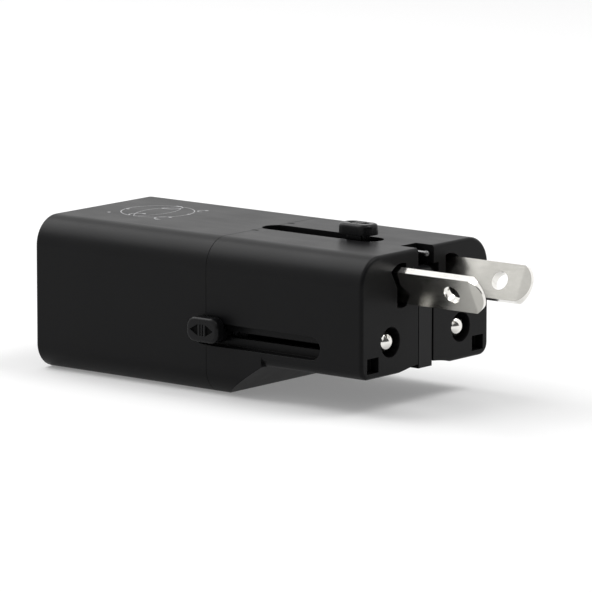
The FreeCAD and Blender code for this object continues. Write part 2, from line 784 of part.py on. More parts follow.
def knob(label, rise):
    """A slider knob, cap up, with its grip mark, a stem and a tongue, its cap off centre by rise."""
    body = doc.addObject("PartDesign::Body", label)
    outline = new_sketch(body, "XY_Plane", f"{label}_cap", "cap_lift")
    rectangle(outline, ("-cap_half_long", "cap_half_long"),
              (f"{rise} - cap_half_wide", f"{rise} + cap_half_wide"))
    pad(body, outline, "cap_thick")
    soften(body, lambda p: True, "cap_corner", "z")
    soften(body, lambda p: near(p.z, value("cap_lift + cap_thick")), "cap_edge")
    marks = new_sketch(body, "XY_Plane", f"{label}_marks", "cap_lift + cap_thick")
    low, high = (f"{rise} - mark_half", f"{rise} + mark_half")
    first = 0
    for sign in ("", "-"):
        near_side, far_side = (f"{sign}mark_bar_near", f"{sign}mark_bar_far")
        bar = [(near_side, low), (far_side, low), (far_side, high), (near_side, high)]
        arrow_root, arrow_tip = (f"{sign}mark_arrow_near", f"{sign}mark_arrow_tip")
        arrow = [(arrow_root, low), (arrow_tip, rise), (arrow_root, high)]
        first = polygon(marks, bar, first)
        first = polygon(marks, arrow, first)
    pocket(body, marks, "cap_mark")
    stem = new_sketch(body, "XY_Plane", f"{label}_stem", "cap_lift")
    rectangle(stem, ("-stem_half_long", "stem_half_long"), ("-stem_half_wide", "stem_half_wide"))
    tongue = new_sketch(body, "XY_Plane", f"{label}_tongue")
    rectangle(tongue, ("-tongue_half_long", "tongue_half_long"), ("-tongue_half_wide", "tongue_half_wide"))
    down_to = ((stem, "cap_lift + groove_depth - play"), (tongue, "groove_depth + groove_floor + play"))
    for sketch, length in down_to:
        down = pad(body, sketch, length)
        down.Reversed = True
        doc.recompute()
    return body


# Slider knobs. A knob is made lying on the origin, so that its cap is up and its tongue down.
blade_knob = knob("blade_knob", "0")
place(blade_knob, "blade_knob_place", "0", "top")
pin_knob = knob("pin_knob", "cap_rise")
pin_knob.Placement.Rotation = FreeCAD.Rotation(Vector(1, 0, 0), 90)
place(pin_knob, "pin_knob_place", "-half_width", "side_groove_level")
blade_knob_screw = screw("blade_knob_screw", "z", "screw_radius", "screw_head",
                         ("tray_low - screw_head_thick", "tray_low"), "top - groove_depth",
                         ("blade_knob_place", "0"))
blade_knob_screw.Label = "blade_knob_screw"

# Flip-out earth pin: a moulded bar, rounded at its hinged end, with an ear on each side for the hinge pin.
bar = box("earth_bar", ("earth_back", "earth_front"), ("-earth_half", "earth_half"),
          ("earth_low", "earth_high"))
ears = rod("earth_ears", "y", "ear_radius", ("-ear_half", "ear_half"), hinge_axis)
bore = rod("earth_bore", "y", "hinge_radius + running", ("-ear_half - overcut", "ear_half + overcut"),
           ("hinge_place", "hinge_level"))


def rounded(label, base, test, radius):
    """Round the edges along Y that pass a test."""
    doc.recompute()
    feature = doc.addObject("Part::Fillet", label)
    feature.Base = base
    names = edges_where(base.Shape, test, "y")
    feature.Edges = [(int(name[4:]), value(radius), value(radius)) for name in names]
    return feature


bar_round = rounded("earth_bar_round", bar, lambda p: p.z > value("hinge_level"), "earth_end_radius")
earth_pin = cut("earth_pin", join("earth_blank", bar_round, ears), bore)
earth_hinge_pin = rod("earth_hinge_pin", "y", "hinge_radius", ("-hinge_half", "hinge_half"),
                      ("hinge_place", "hinge_level"))
earth_spring_wire = join(
    "earth_spring_wire",
    rod("wire_run", "x", "wire_radius", ("wire_back", "plug_face - wire_end_gap"),
        ("wire_side", "wire_level")),
    doc.addObject("Part::Sphere", "wire_eye"))
eye = doc.getObject("wire_eye")
eye.setExpression("Radius", bound("wire_eye"))
place(eye, "plug_face - wire_end_gap", "wire_side", "wire_level - wire_radius / 4")


def blade(side, mirror):
    """A flat blade with a round, two-sided chisel tip, its hole and the round trunnion that it twists on."""
    body = doc.addObject("PartDesign::Body", f"{side}_blade")
    flat = new_sketch(body, "XZ_Plane", f"{side}_blade_outline")
    shoulder, tip, half = "plug_face + blade_reach - blade_tip_rise", "plug_face + blade_reach", "blade_half"
    corners = [(value(shoulder), value(half)), (value("blade_root"), value(half)),
               (value("blade_root"), -value(half)), (value(shoulder), -value(half))]
    points = [Vector(across, up, 0) for across, up in corners]
    for start, end in zip(points, points[1:]):
        flat.addGeometry(Part.LineSegment(start, end), False)
    flat.addGeometry(Part.Arc(points[3], Vector(value(tip), 0, 0), points[0]), False)
    for curve, following in ((0, 1), (1, 2)):
        flat.addConstraint(Sketcher.Constraint("Coincident", curve, 2, following, 1))
    flat.addConstraint(Sketcher.Constraint("Coincident", 2, 2, 3, 1))
    flat.addConstraint(Sketcher.Constraint("Coincident", 0, 1, 3, 2))
    pin_point(flat, 0, 1, shoulder, half)
    pin_point(flat, 1, 1, "blade_root", half)
    pin_point(flat, 2, 1, "blade_root", f"-{half}")
    pin_point(flat, 3, 1, shoulder, f"-{half}")
    radius = "(blade_half ^ 2 + blade_tip_rise ^ 2) / (2 * blade_tip_rise)"
    held = flat.addConstraint(Sketcher.Constraint("Radius", 3, value(radius)))
    flat.setExpression(f"Constraints[{held}]", bound(radius))
    pad(body, flat, "blade_thick", both_ways=True)
    chisel = new_sketch(body, "XY_Plane", f"{side}_blade_chisel")
    first = 0
    for sign in ("", "-"):
        beyond = f"{tip} + overcut"
        wedge = [(shoulder, f"{sign}blade_thick / 2"), (tip, f"{sign}blade_tip_edge / 2"),
                 (beyond, f"{sign}blade_tip_edge / 2"), (beyond, f"{sign}blade_thick")]
        wedge.append((shoulder, f"{sign}blade_thick"))
        first = polygon(chisel, wedge, first)
    pocket(body, chisel, "4 * blade_half", both_ways=True)
    hole = new_sketch(body, "XZ_Plane", f"{side}_blade_hole")
    circle(hole, "plug_face + blade_hole_back", "0", "blade_hole")
    pocket(body, hole, "2 * blade_thick", both_ways=True)
    peg = new_sketch(body, "YZ_Plane", f"{side}_trunnion", "trunnion_end")
    circle(peg, "0", "0", "trunnion")
    pad(body, peg, "blade_root - trunnion_end")
    body.Placement.Rotation = FreeCAD.Rotation(Vector(1, 0, 0), -mirror * value("blade_twist"))
    place(body, "0", f"{mirror} * blade_side", "blade_level")
    return body


blades = []
collars = []
clips = []
for side, mirror in (("left", -1), ("right", 1)):
    axis = (f"{mirror} * blade_side", "blade_level")
    blades.append(blade(side, mirror))
    notch = box(f"{side}_collar_notch", ("collar_rear - overcut", "collar_front + overcut"),
                ("-blade_thick / 2", "blade_thick / 2"), ("-blade_half", "blade_half"))
    turn = f"{-mirror} * blade_twist"
    notch.Placement.Rotation = FreeCAD.Rotation(Vector(1, 0, 0), -mirror * value("blade_twist"))
    place(notch, "collar_rear - overcut",
          f"{mirror} * blade_side - blade_thick / 2 * cos({turn}) + blade_half * sin({turn})",
          f"blade_level - blade_thick / 2 * sin({turn}) - blade_half * cos({turn})")
    disc = rod(f"{side}_collar_disc", "x", "collar_radius + collar_play",
               ("collar_rear", "collar_front"), axis)
    collars.append(cut(f"{side}_blade_collar", disc, notch))
    clip_span = ("trunnion_end + clip_gap", "trunnion_end + clip_gap + clip_thick")
    clips.append(cut(f"{side}_blade_clip", rod(f"{side}_clip_disc", "x", "clip_radius", clip_span, axis),
                     rod(f"{side}_clip_bore", "x", "trunnion",
                         ("trunnion_end - overcut", "blade_root"), axis)))

# Carriage of the blades: a bar with two bores, and a tray behind it that the knob is screwed to.
bar_blank = box("blade_bar", ("blade_bar_rear", "blade_bar_front"), ("-blade_bar_half", "blade_bar_half"),
                ("blade_bar_low", "blade_bar_high"))
tray = box("blade_tray", ("tray_rear", "blade_bar_rear + overcut"), ("-tray_half", "tray_half"),
           ("tray_low", "blade_bar_high"))
bar_notch = box("blade_bar_notch", ("blade_notch_rear", "blade_bar_front + overcut"),
                ("-blade_notch_half", "blade_notch_half"), ("0", "top"))
bar_bores = [
    rod(f"blade_bar_bore_{number}", "x", "trunnion + running", ("tray_rear", "blade_root"),
        (where, "blade_level"))
    for number, where in enumerate(("-blade_side", "blade_side"))
]
tray_bore = rod("tray_bore", "z", "screw_radius", ("tray_low - overcut", "top"), ("blade_knob_place", "0"))
blade_carriage = cut("blade_carriage", join("blade_carriage_blank", bar_blank, tray), bar_notch, *bar_bores,
                     tray_bore)


# Round pins: turned rods with domed tips, held by the carriage and thinner under their insulating sleeves.
def round_pin(side, mirror):
    """One turned pin, drawn as half a section and revolved."""
    body = doc.addObject("PartDesign::Body", f"{side}_round_pin")
    half = new_sketch(body, "XY_Plane", f"{side}_pin_section")
    dome = "pin_tip - pin_radius"
    corners = [(dome, "pin_radius"), ("pin_sleeve_front", "pin_radius"), ("pin_sleeve_front", "pin_neck"),
               ("pin_bar_front", "pin_neck"), ("pin_bar_front", "pin_radius"), ("pin_tail", "pin_radius"),
               ("pin_tail", "0"), ("pin_tip", "0")]
    points = [Vector(value(across), value(up), 0) for across, up in corners]
    circle_of_dome = Part.Circle(Vector(value(dome), 0, 0), Vector(0, 0, 1), value("pin_radius"))
    half.addGeometry(Part.ArcOfCircle(circle_of_dome, 0, math.pi / 2), False)
    for start, end in zip(points, points[1:]):
        half.addGeometry(Part.LineSegment(start, end), False)
    for curve in range(len(points) - 1):
        half.addConstraint(Sketcher.Constraint("Coincident", curve, 2, curve + 1, 1))
    half.addConstraint(Sketcher.Constraint("Coincident", len(points) - 1, 2, 0, 1))
    pin_point(half, 0, 3, dome, "0")
    for curve, (across, up) in enumerate(corners[1:], 2):
        if curve < len(corners):
            pin_point(half, curve, 1, across, up)
    pin_point(half, len(points) - 1, 2, "pin_tip", "0")
    held = half.addConstraint(Sketcher.Constraint("DistanceX", -1, 1, 0, 2, value(dome)))
    half.setExpression(f"Constraints[{held}]", bound(dome))
    turned = body.newObject("PartDesign::Revolution", f"{side}_pin_turning")
    turned.Profile = half
    turned.ReferenceAxis = (half, ["H_Axis"])
    turned.Angle = 360
    doc.recompute()
    place(body, "0", f"{mirror} * pin_side", "pin_level")
    return body


pins = [round_pin("left", -1), round_pin("right", 1)]
pin_axes = (("-pin_side", "pin_level"), ("pin_side", "pin_level"))
sleeve_run = ("pin_bar_front", "pin_sleeve_front")
pin_sleeves = [
    cut(f"{side}_pin_sleeve", rod(f"{side}_sleeve_outer", "x", "pin_radius", sleeve_run, axis),
        rod(f"{side}_sleeve_inner", "x", "pin_neck", sleeve_run, axis))
    for side, axis in zip(("left", "right"), pin_axes)
]
pin_seats = [
    rod(f"pin_seat_{number}", "x", "pin_radius", ("pin_tail", "pin_bar_front + overcut"), axis)
    for number, axis in enumerate(pin_axes)
]
tongue_face = "groove_depth + groove_floor + play - half_width"
arm = box("pin_bar_arm", ("pin_bar_rear", "pin_bar_rear + arm_thick"), (tongue_face, "overcut - pin_bar_half"),
          ("arm_low", "arm_high"))
arm_bore = rod("arm_bore", "y", "screw_radius", ("-half_width", "overcut - pin_bar_half"),
               ("pin_knob_place", "side_groove_level"))
sink_half = "screw_head + clip_gap"
arm_sink = box("arm_sink", (f"pin_knob_place - ({sink_half})", f"pin_knob_place + {sink_half}"),
               (f"{tongue_face} + arm_step", "2 * overcut - pin_bar_half"),
               (f"side_groove_level - ({sink_half})", f"side_groove_level + {sink_half}"))
pin_bar = box("pin_bar", ("pin_bar_rear", "pin_bar_front"), ("-pin_bar_half", "pin_bar_half"),
              ("pin_bar_low", "pin_bar_high"))
pin_carriage = cut("pin_carriage", join("pin_carriage_blank", pin_bar, arm), *pin_seats, arm_bore, arm_sink)
pin_knob_screw = screw("pin_knob_screw", "y", "screw_radius", "screw_head",
                       (f"{tongue_face} + arm_step", f"{tongue_face} + arm_step + screw_head_thick"),
                       "groove_depth - half_width", ("pin_knob_place", "side_groove_level"))
pin_knob_screw.Label = "pin_knob_screw"

# Current path: a wiper on each carriage runs along a brass bar on each side wall.
wipers = []
busbars = []
contacts = []
for side, mirror in (("left", -1), ("right", 1)):
    def across(inner, outer):
        """A stretch of width on this side, between two distances from the middle."""
        return tuple(sorted((f"{mirror} * ({inner})", f"{mirror} * ({outer})"), key=value))

    foot = ("pin_bar_rear - wiper_thick", "pin_bar_rear")
    far = "pin_side + wiper_arm_far"
    wipers.append(join(
        f"{side}_pin_wiper",
        box(f"{side}_pin_wiper_foot", foot, across("pin_side - wiper_half", far),
            ("pin_level - wiper_half", "pin_level + wiper_half")),
        box(f"{side}_pin_wiper_arm", foot, across("pin_side + wiper_arm_near", far),
            ("pin_level - wiper_half", "wiper_pad_high")),
        box(f"{side}_pin_wiper_pad", foot, across(far, "busbar_inner - wiper_gap"),
            ("wiper_pad_low", "wiper_pad_high"))))
    plate = ("blade_bar_rear - leaf_thick", "blade_bar_rear")
    wipers.append(cut(
        f"{side}_blade_wiper",
        join(f"{side}_blade_wiper_blank",
             box(f"{side}_blade_wiper_plate", plate,
                 across("blade_side - leaf_half", "busbar_inner - wiper_gap"), ("leaf_low", "leaf_middle")),
             box(f"{side}_blade_wiper_foot", plate, across("blade_side - leaf_half", "blade_side + leaf_half"),
                 ("leaf_low", "leaf_high"))),
        rod(f"{side}_blade_wiper_bore", "x", "trunnion + running", ("trunnion_end", "blade_root"),
            (f"{mirror} * blade_side", "blade_level"))))
    busbars.append(box(f"{side}_busbar", ("busbar_rear", "busbar_front"),
                       across("busbar_inner", "half_width - wall"), ("busbar_low", "busbar_high")))
    leaves = [
        box(f"{side}_contact_leaf_{number}", ("contact_rear", "contact_front"),
            across(where, f"{where} + contact_leaf"), ("contact_low", "contact_high"))
        for number, where in enumerate(("contact_inner", "contact_outer"))
    ]
    base = box(f"{side}_contact_base", ("contact_front", "contact_front + contact_leaf"),
               across("contact_inner", "busbar_inner"), ("contact_low", "contact_high"))
    contacts.append(join(f"{side}_outlet_contact", *leaves, base))

# Charger: a board on two rails, with its transformer, capacitors and two stacked ports.
charger_board = box("charger_board", ("board_rear", "board_front"), ("-board_half", "board_half"),
                    ("board_low", "board_high"))
core_span = (("core_rear", "core_front"), ("core_right", "core_left"), ("core_low", "core_high"))
window = box("core_window", ("core_rear + core_leg", "core_front - core_leg"),
             ("core_right - overcut", "core_left + overcut"), ("core_low + core_leg", "core_high - core_leg"))
transformer_core = cut("transformer_core", box("core_blank", *core_span), window)
coil_long = ("core_rear + core_leg", "core_front - core_leg")
coil_wide = ("core_right - coil_overhang", "core_left + coil_overhang")
coil_high = ("core_low + core_leg", "core_high - core_leg")
wound_long = (f"{coil_long[0]} + coil_tape", f"{coil_long[1]} - coil_tape")
wound_high = (f"{coil_high[0]} + coil_tape", f"{coil_high[1]} - coil_tape")
transformer_winding = box("transformer_winding", wound_long, coil_wide, wound_high)
through_tape = ("core_right - 2 * coil_overhang", "core_left + 2 * coil_overhang")
tape_opening = box("tape_opening", wound_long, through_tape, wound_high)
transformer_tape = cut("transformer_tape", box("tape_outer", coil_long, coil_wide, coil_high), tape_opening)
mains_capacitor = rod("mains_capacitor", "z", "big_capacitor", ("board_high", "big_capacitor_top"),
                      ("big_capacitor_place", "0"))
output_capacitors = group("output_capacitors", *[
    rod(f"output_capacitor_{number}", "z", "small_capacitor", ("board_high", "small_capacitor_top"),
        (where, "small_capacitor_side"))
    for number, where in enumerate(("small_capacitor_first", "small_capacitor_second"))
])
ports = []
for name, height in (("lower", "port_low_level"), ("upper", "port_high_level")):
    outer = (("port_middle - port_half_wide", "port_middle + port_half_wide"), ("port_back", "port_mouth"),
             (f"{height} - port_half_high", f"{height} + port_half_high"))
    inner = (("port_middle - port_half_wide + port_skin", "port_middle + port_half_wide - port_skin"),
             ("port_back + port_skin", "port_mouth + overcut"),
             (f"{height} - port_half_high + port_skin", f"{height} + port_half_high - port_skin"))
    ports.append(cut(f"{name}_port_shell", box(f"{name}_port_outer", *outer),
                     box(f"{name}_port_inner", *inner)))
    ports.append(join(
        f"{name}_port_tongue",
        box(f"{name}_tongue_block", inner[0], ("port_back + port_skin", "tongue_root"), inner[2]),
        box(f"{name}_tongue_blade", ("port_middle - tongue_wide", "port_middle + tongue_wide"),
            ("tongue_root", "tongue_tip"),
            (f"{height} + port_tongue_low", f"{height} + port_tongue_low + port_tongue_thick"))))
port_spacer = box("port_spacer", ("port_middle - port_half_wide", "port_middle + port_half_wide"),
                  ("port_back", "port_mouth - spacer_back"),
                  ("port_low_level + port_half_high", "port_high_level - port_half_high"))

# Fuse: a glass tube with metal caps, in two clips on a small holder.
fuse_axis = ("fuse_side", "fuse_level")
glass_run = ("fuse_rear + fuse_inset", "fuse_front - fuse_inset")
fuse_tube = rod("fuse_tube", "x", "fuse_glass", glass_run, fuse_axis)
cap_spans = (("fuse_rear", "fuse_rear + fuse_cap_long"), ("fuse_front - fuse_cap_long", "fuse_front"))
fuse_caps = group("fuse_caps", *[
    cut(f"fuse_cap_{number}", rod(f"fuse_cap_outer_{number}", "x", "fuse_cap", span, fuse_axis),
        rod(f"fuse_cap_inner_{number}", "x", "fuse_glass", glass_run, fuse_axis))
    for number, span in enumerate(cap_spans)
])
holder_long = ("fuse_rear - fuse_inset", "fuse_front + fuse_inset")
fuse_holder = box("fuse_holder", holder_long, ("fuse_side - holder_half", "fuse_side + holder_half"),
                  ("holder_low", "holder_high"))
clips_made = []
for number, span in enumerate(cap_spans):
    middle = f"({span[0]} + {span[1]}) / 2"
    ends = (f"{middle} - clip_half", f"{middle} + clip_half")
    spread = "fuse_cap + clip_wall"
    clip_block = box(f"clip_block_{number}", ends, (f"fuse_side - ({spread})", f"fuse_side + {spread}"),
                     ("holder_high", "fuse_level + clip_grip"))
    seat = rod(f"clip_seat_{number}", "x", "fuse_cap", holder_long, fuse_axis)
    mouth = box(f"clip_mouth_{number}", holder_long, ("fuse_side - fuse_cap", "fuse_side + fuse_cap"),
                ("fuse_level", "fuse_level + clip_mouth"))
    clips_made.append(cut(f"fuse_clip_{number}", clip_block, seat, mouth))
fuse_clips = group("fuse_clips", *clips_made)

NODES = [
    front_housing, rear_housing, outlet_panel, panel_screws, partition, divider,
    blade_knob, blade_knob_screw, blade_carriage, *blades, *collars, *clips, blade_detent_spring,
    pin_knob, pin_knob_screw, pin_carriage, *pins, *pin_sleeves, pin_detent_spring,
    earth_pin, earth_hinge_pin, earth_spring_wire,
    *wipers, *busbars, *contacts,
    charger_board, transformer_core, transformer_winding, transformer_tape, mains_capacitor, output_capacitors,
    *ports, port_spacer, fuse_tube, fuse_caps, fuse_holder, fuse_clips,
]

doc.recompute()
for item in doc.Objects:
    if "Invalid" in item.State or "Error" in item.State:
        raise RuntimeError(f"{item.Label} has failed: {item.State}")
for node in NODES:
    if node.Shape.isNull() or not node.Shape.isValid():
        raise RuntimeError(f"{node.Label} has no sound shape")

os.makedirs("parts", exist_ok=True)
for node in NODES:
    node.Shape.exportStep(f"parts/{node.Label}.step")
print(f"{len(NODES)} sub-parts written")
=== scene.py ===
"""Looks of a universal travel adapter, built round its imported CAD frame. Everything is in metres.

The plug face points along +X, the long side with the pin slider along -Y, and the adapter stands on z = 0.
"""

import math

import bpy
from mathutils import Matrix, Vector


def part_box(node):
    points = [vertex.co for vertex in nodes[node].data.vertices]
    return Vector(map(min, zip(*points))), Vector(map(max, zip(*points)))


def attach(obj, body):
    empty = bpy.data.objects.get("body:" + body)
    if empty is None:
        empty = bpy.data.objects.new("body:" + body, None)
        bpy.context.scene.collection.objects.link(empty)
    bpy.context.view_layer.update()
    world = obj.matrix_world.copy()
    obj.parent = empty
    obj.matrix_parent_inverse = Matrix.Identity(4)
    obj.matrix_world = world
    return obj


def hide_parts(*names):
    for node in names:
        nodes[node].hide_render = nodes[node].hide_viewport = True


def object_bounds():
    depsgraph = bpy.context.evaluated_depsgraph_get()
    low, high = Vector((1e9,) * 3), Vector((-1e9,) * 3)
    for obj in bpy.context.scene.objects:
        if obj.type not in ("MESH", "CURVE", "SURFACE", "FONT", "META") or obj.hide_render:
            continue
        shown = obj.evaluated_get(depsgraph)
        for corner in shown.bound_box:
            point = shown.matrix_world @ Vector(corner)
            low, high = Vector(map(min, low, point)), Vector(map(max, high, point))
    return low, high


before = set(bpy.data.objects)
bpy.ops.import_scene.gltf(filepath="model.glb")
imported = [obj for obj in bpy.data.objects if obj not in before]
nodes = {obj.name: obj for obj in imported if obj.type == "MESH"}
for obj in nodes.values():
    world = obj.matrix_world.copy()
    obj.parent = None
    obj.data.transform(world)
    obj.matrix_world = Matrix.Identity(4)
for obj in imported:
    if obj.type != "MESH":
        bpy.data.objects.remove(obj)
cad_low, cad_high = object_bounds()
bpy.ops.object.select_all(action="DESELECT")
MM = 0.001


# ---- Camera -------------------------------------------------------------------------------------------
# A long lens, a little above the adapter, that looks at the corner between the pin slider's side and
# the plug face. It is aimed at the plug face's foot and then shifted sideways and up in its own plane.
CAMERA_TURN = math.radians(39.160)
CAMERA_RISE = math.radians(9.793)
CAMERA_DISTANCE = 921.8 * MM
CAMERA_ASIDE = -21.54 * MM
CAMERA_UP = 17.83 * MM
CAMERA_LENS = 336.8
SENSOR_WIDTH = 36
CLIP_NEAR, CLIP_FAR = 0.05, 20
plug_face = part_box("front_housing")[1].x
camera_back = Vector((
    math.sin(CAMERA_TURN) * math.cos(CAMERA_RISE),
    -math.cos(CAMERA_TURN) * math.cos(CAMERA_RISE),
    math.sin(CAMERA_RISE),
))
camera_turn = camera_back.to_track_quat("Z", "Y")
camera_right = camera_turn @ Vector((1, 0, 0))
camera_up = camera_turn @ Vector((0, 1, 0))
camera_aim = Vector((plug_face, 0, 0)) + camera_right * CAMERA_ASIDE + camera_up * CAMERA_UP
bpy.ops.object.camera_add(
    location=camera_aim + camera_back * CAMERA_DISTANCE,
    rotation=camera_turn.to_euler(),
)
camera = bpy.context.object
camera.name = "camera"
camera.data.sensor_width = SENSOR_WIDTH
camera.data.lens = CAMERA_LENS
camera.data.clip_start = CLIP_NEAR
camera.data.clip_end = CLIP_FAR
bpy.context.scene.camera = camera


# ---- Studio -------------------------------------------------------------------------------------------
# A lit white table in a pale room, a wide softbox high over the rear end that runs along the rounded top
# edges, one high beyond the plug face for the blades' tips, a dark card behind the camera and a dark
# three-cornered flag beyond the plug face, which the pins' domes mirror.
ROOM_STRENGTH = 0.54
ROOM_IN_REFLECTIONS = 1.10
FLOOR_SIZE = 6
FLOOR_GREY, FLOOR_GLOW = 0.70, 0.22
CARD_GREY = 0.01
CARD_SIZE, CARD_DISTANCE = 0.7, 1.15
FLAG_RADIUS, FLAG_DISTANCE, FLAG_HEIGHT = 0.48, 0.55, 0.25
bpy.context.scene.view_settings.view_transform = "Standard"
room = bpy.data.worlds.new("room")
room.use_nodes = True
bpy.context.scene.world = room
room_light = room.node_tree.nodes["Background"]
room_light.inputs["Color"].default_value = (1, 1, 1, 1)
light_path = room.node_tree.nodes.new("ShaderNodeLightPath")
room_level = room.node_tree.nodes.new("ShaderNodeMapRange")
room_level.inputs["To Min"].default_value = ROOM_STRENGTH
room_level.inputs["To Max"].default_value = ROOM_IN_REFLECTIONS
room.node_tree.links.new(light_path.outputs["Is Glossy Ray"], room_level.inputs["Value"])
room.node_tree.links.new(room_level.outputs["Result"], room_light.inputs["Strength"])


def softbox(name, place, width, height, power):
    """A rectangular area light at a place, turned to the adapter's middle."""
    away = Vector(place) - (cad_low + cad_high) / 2
    bpy.ops.object.light_add(
        type="AREA", location=place, rotation=away.to_track_quat("Z", "Y").to_euler()
    )
    light = bpy.context.object
    light.name = name
    light.data.shape = "RECTANGLE"
    light.data.size = width
    light.data.size_y = height
    light.data.energy = power


softbox("edge_light", place=(-0.50, -0.10, 0.62), width=0.70, height=0.60, power=4.6)
softbox("tip_light", place=(0.42, 0.25, 0.74), width=0.45, height=0.40, power=3.0)


def paper(name, grey):
    """A grey paper and its shader."""
    sheet = bpy.data.materials.new(name)
    sheet.use_nodes = True
    shader = sheet.node_tree.nodes["Principled BSDF"]
    shader.inputs["Base Color"].default_value = (grey, grey, grey, 1)
    return sheet, shader


bpy.ops.mesh.primitive_plane_add(size=FLOOR_SIZE, location=(0, 0, 0))
floor = bpy.context.object
floor.name = "floor"
floor_paper, floor_shader = paper("floor_paper", FLOOR_GREY)
floor_shader.inputs["Roughness"].default_value = 0.9
floor_shader.inputs["Specular IOR Level"].default_value = 0.1
floor_shader.inputs["Emission Color"].default_value = (1, 1, 1, 1)
floor_shader.inputs["Emission Strength"].default_value = FLOOR_GLOW
floor.data.materials.append(floor_paper)

bpy.ops.mesh.primitive_plane_add(
    size=CARD_SIZE,
    location=camera_aim + camera_back * CARD_DISTANCE,
    rotation=camera_turn.to_euler(),
)
card = bpy.context.object
card.name = "dark_card"
bpy.ops.mesh.primitive_circle_add(
    vertices=3,
    radius=FLAG_RADIUS,
    fill_type="NGON",
    location=(plug_face + FLAG_DISTANCE, 0, FLAG_HEIGHT),
    rotation=(math.radians(90), 0, math.radians(90)),
)
flag = bpy.context.object
flag.name = "dark_flag"
card_paper, _ = paper("card_paper", CARD_GREY)
for screen in (card, flag):
    screen.data.materials.append(card_paper)
    screen.visible_camera = False


# ---- Housing ------------------------------------------------------------------------------------------
# The front and rear shells are moulded from black polycarbonate in a spark-eroded mould, so their skin
# is satin with a very fine pebble, and a touch smoother in patches where hands have rubbed it.
class Signal:
    """A number that varies over a surface. Sums written with it become the nodes that work them out."""

    def __init__(self, finish, socket):
        self.finish = finish
        self.socket = socket

    def sum(self, operation, one, other=0.0):
        return self.finish.node("ShaderNodeMath", {0: one, 1: other}, operation=operation)

    def __add__(self, other):
        return self.sum("ADD", self, other)

    def __radd__(self, other):
        return self.sum("ADD", other, self)

    def __sub__(self, other):
        return self.sum("SUBTRACT", self, other)

    def __rsub__(self, other):
        return self.sum("SUBTRACT", other, self)

    def __mul__(self, other):
        return self.sum("MULTIPLY", self, other)

    def __rmul__(self, other):
        return self.sum("MULTIPLY", other, self)

    def __truediv__(self, other):
        return self.sum("DIVIDE", self, other)

    def __rtruediv__(self, other):
        return self.sum("DIVIDE", other, self)

    def size(self):
        return self.sum("ABSOLUTE", self)

    def repeat(self, length):
        return self.sum("PINGPONG", self, length)

    def off_lines(self, pitch):
        """The distance from the nearest of a row of lines, a pitch apart."""
        return (self.repeat(pitch) - pitch / 2).size()

    def fade(self, low, high):
        """0 below low and 1 above high, with a soft step between them."""
        return self.finish.node(
            "ShaderNodeMapRange",
            {"Value": self, "From Min": low, "From Max": high},
            interpolation_type="SMOOTHSTEP",
        )


class Finish:
    """A material made of nodes. Constants go on its shader, and varying values into its surface."""

    def __init__(self, name, **constants):
        self.material = bpy.data.materials.new(name)
        self.material.use_nodes = True
        self.tree = self.material.node_tree
        self.shader = self.tree.nodes["Principled BSDF"]
        for socket, constant in constants.items():
            self.shader.inputs[socket.replace("_", " ")].default_value = constant
        self.place = self.node("ShaderNodeTexCoord", {}, output="Object")

    def node(self, kind, inputs, output=0, **settings):
        """One output of a new node with these settings, its inputs set or linked."""
        made = self.tree.nodes.new(kind)
        for setting, choice in settings.items():
            setattr(made, setting, choice)
        for name, given in inputs.items():
            if isinstance(given, Signal):
                self.tree.links.new(given.socket, made.inputs[name])
            else:
                made.inputs[name].default_value = given
        return Signal(self, made.outputs[output])

    def along(self, axis):
        """The place along an axis, in millimetres."""
        return self.node("ShaderNodeSeparateXYZ", {0: self.place}, output=axis) / MM

    def noise(self, grain, stretch=(1, 1, 1), detail=3.0):
        """Noise between 0 and 1 whose grain is in millimetres, drawn out along the axes by stretch."""
        scale = tuple(1 / (grain * MM * longer) for longer in stretch)
        place = self.node("ShaderNodeVectorMath", {0: self.place, 1: scale}, operation="MULTIPLY")
        return self.node("ShaderNodeTexNoise", {"Vector": place, "Scale": 1.0, "Detail": detail})

    def pebbles(self, grain):
        """The distance from the middle of the nearest pebble, for pebbles of a grain in millimetres."""
        return self.node("ShaderNodeTexVoronoi", {"Vector": self.place, "Scale": 1 / (grain * MM)})

    def blend(self, share, one, other):
        """A colour that goes from one to other as share goes from 0 to 1."""
        one, other = (
            colour if isinstance(colour, Signal) else (*colour, 1.0) for colour in (one, other)
        )
        return self.node("ShaderNodeMix", {0: share, 6: one, 7: other}, output=2, data_type="RGBA")

    def surface(self, colour, roughness, relief, depth, edge=0.0):
        """Feed the shader a colour, a roughness and a relief whose whole depth is in millimetres.

        edge is the radius in millimetres that light sees on every sharp edge.
        """
        inputs = {"Height": relief, "Distance": depth * MM, "Strength": 1.0}
        if edge:
            inputs["Normal"] = self.node("ShaderNodeBevel", {"Radius": edge * MM}, samples=6)
        normal = self.node("ShaderNodeBump", inputs)
        feeds = (("Base Color", colour), ("Roughness", roughness), ("Normal", normal))
        for socket, signal in feeds:
            self.tree.links.new(signal.socket, self.shader.inputs[socket])
        return self.material


def wear(name, material):
    """Give a carried-over CAD node its material."""
    nodes[name].data.materials.clear()
    nodes[name].data.materials.append(material)


BLACK = (0.0, 0.0, 0.0)
CLOUD_GRAIN, RUBBED_GRAIN, SPECK_GRAIN = 9.0, 3.0, 0.25
SEAM_NARROW, SEAM_WIDE = 0.03, 0.07
SEAM_SINK = 14
SOFT_EDGE = 0.16


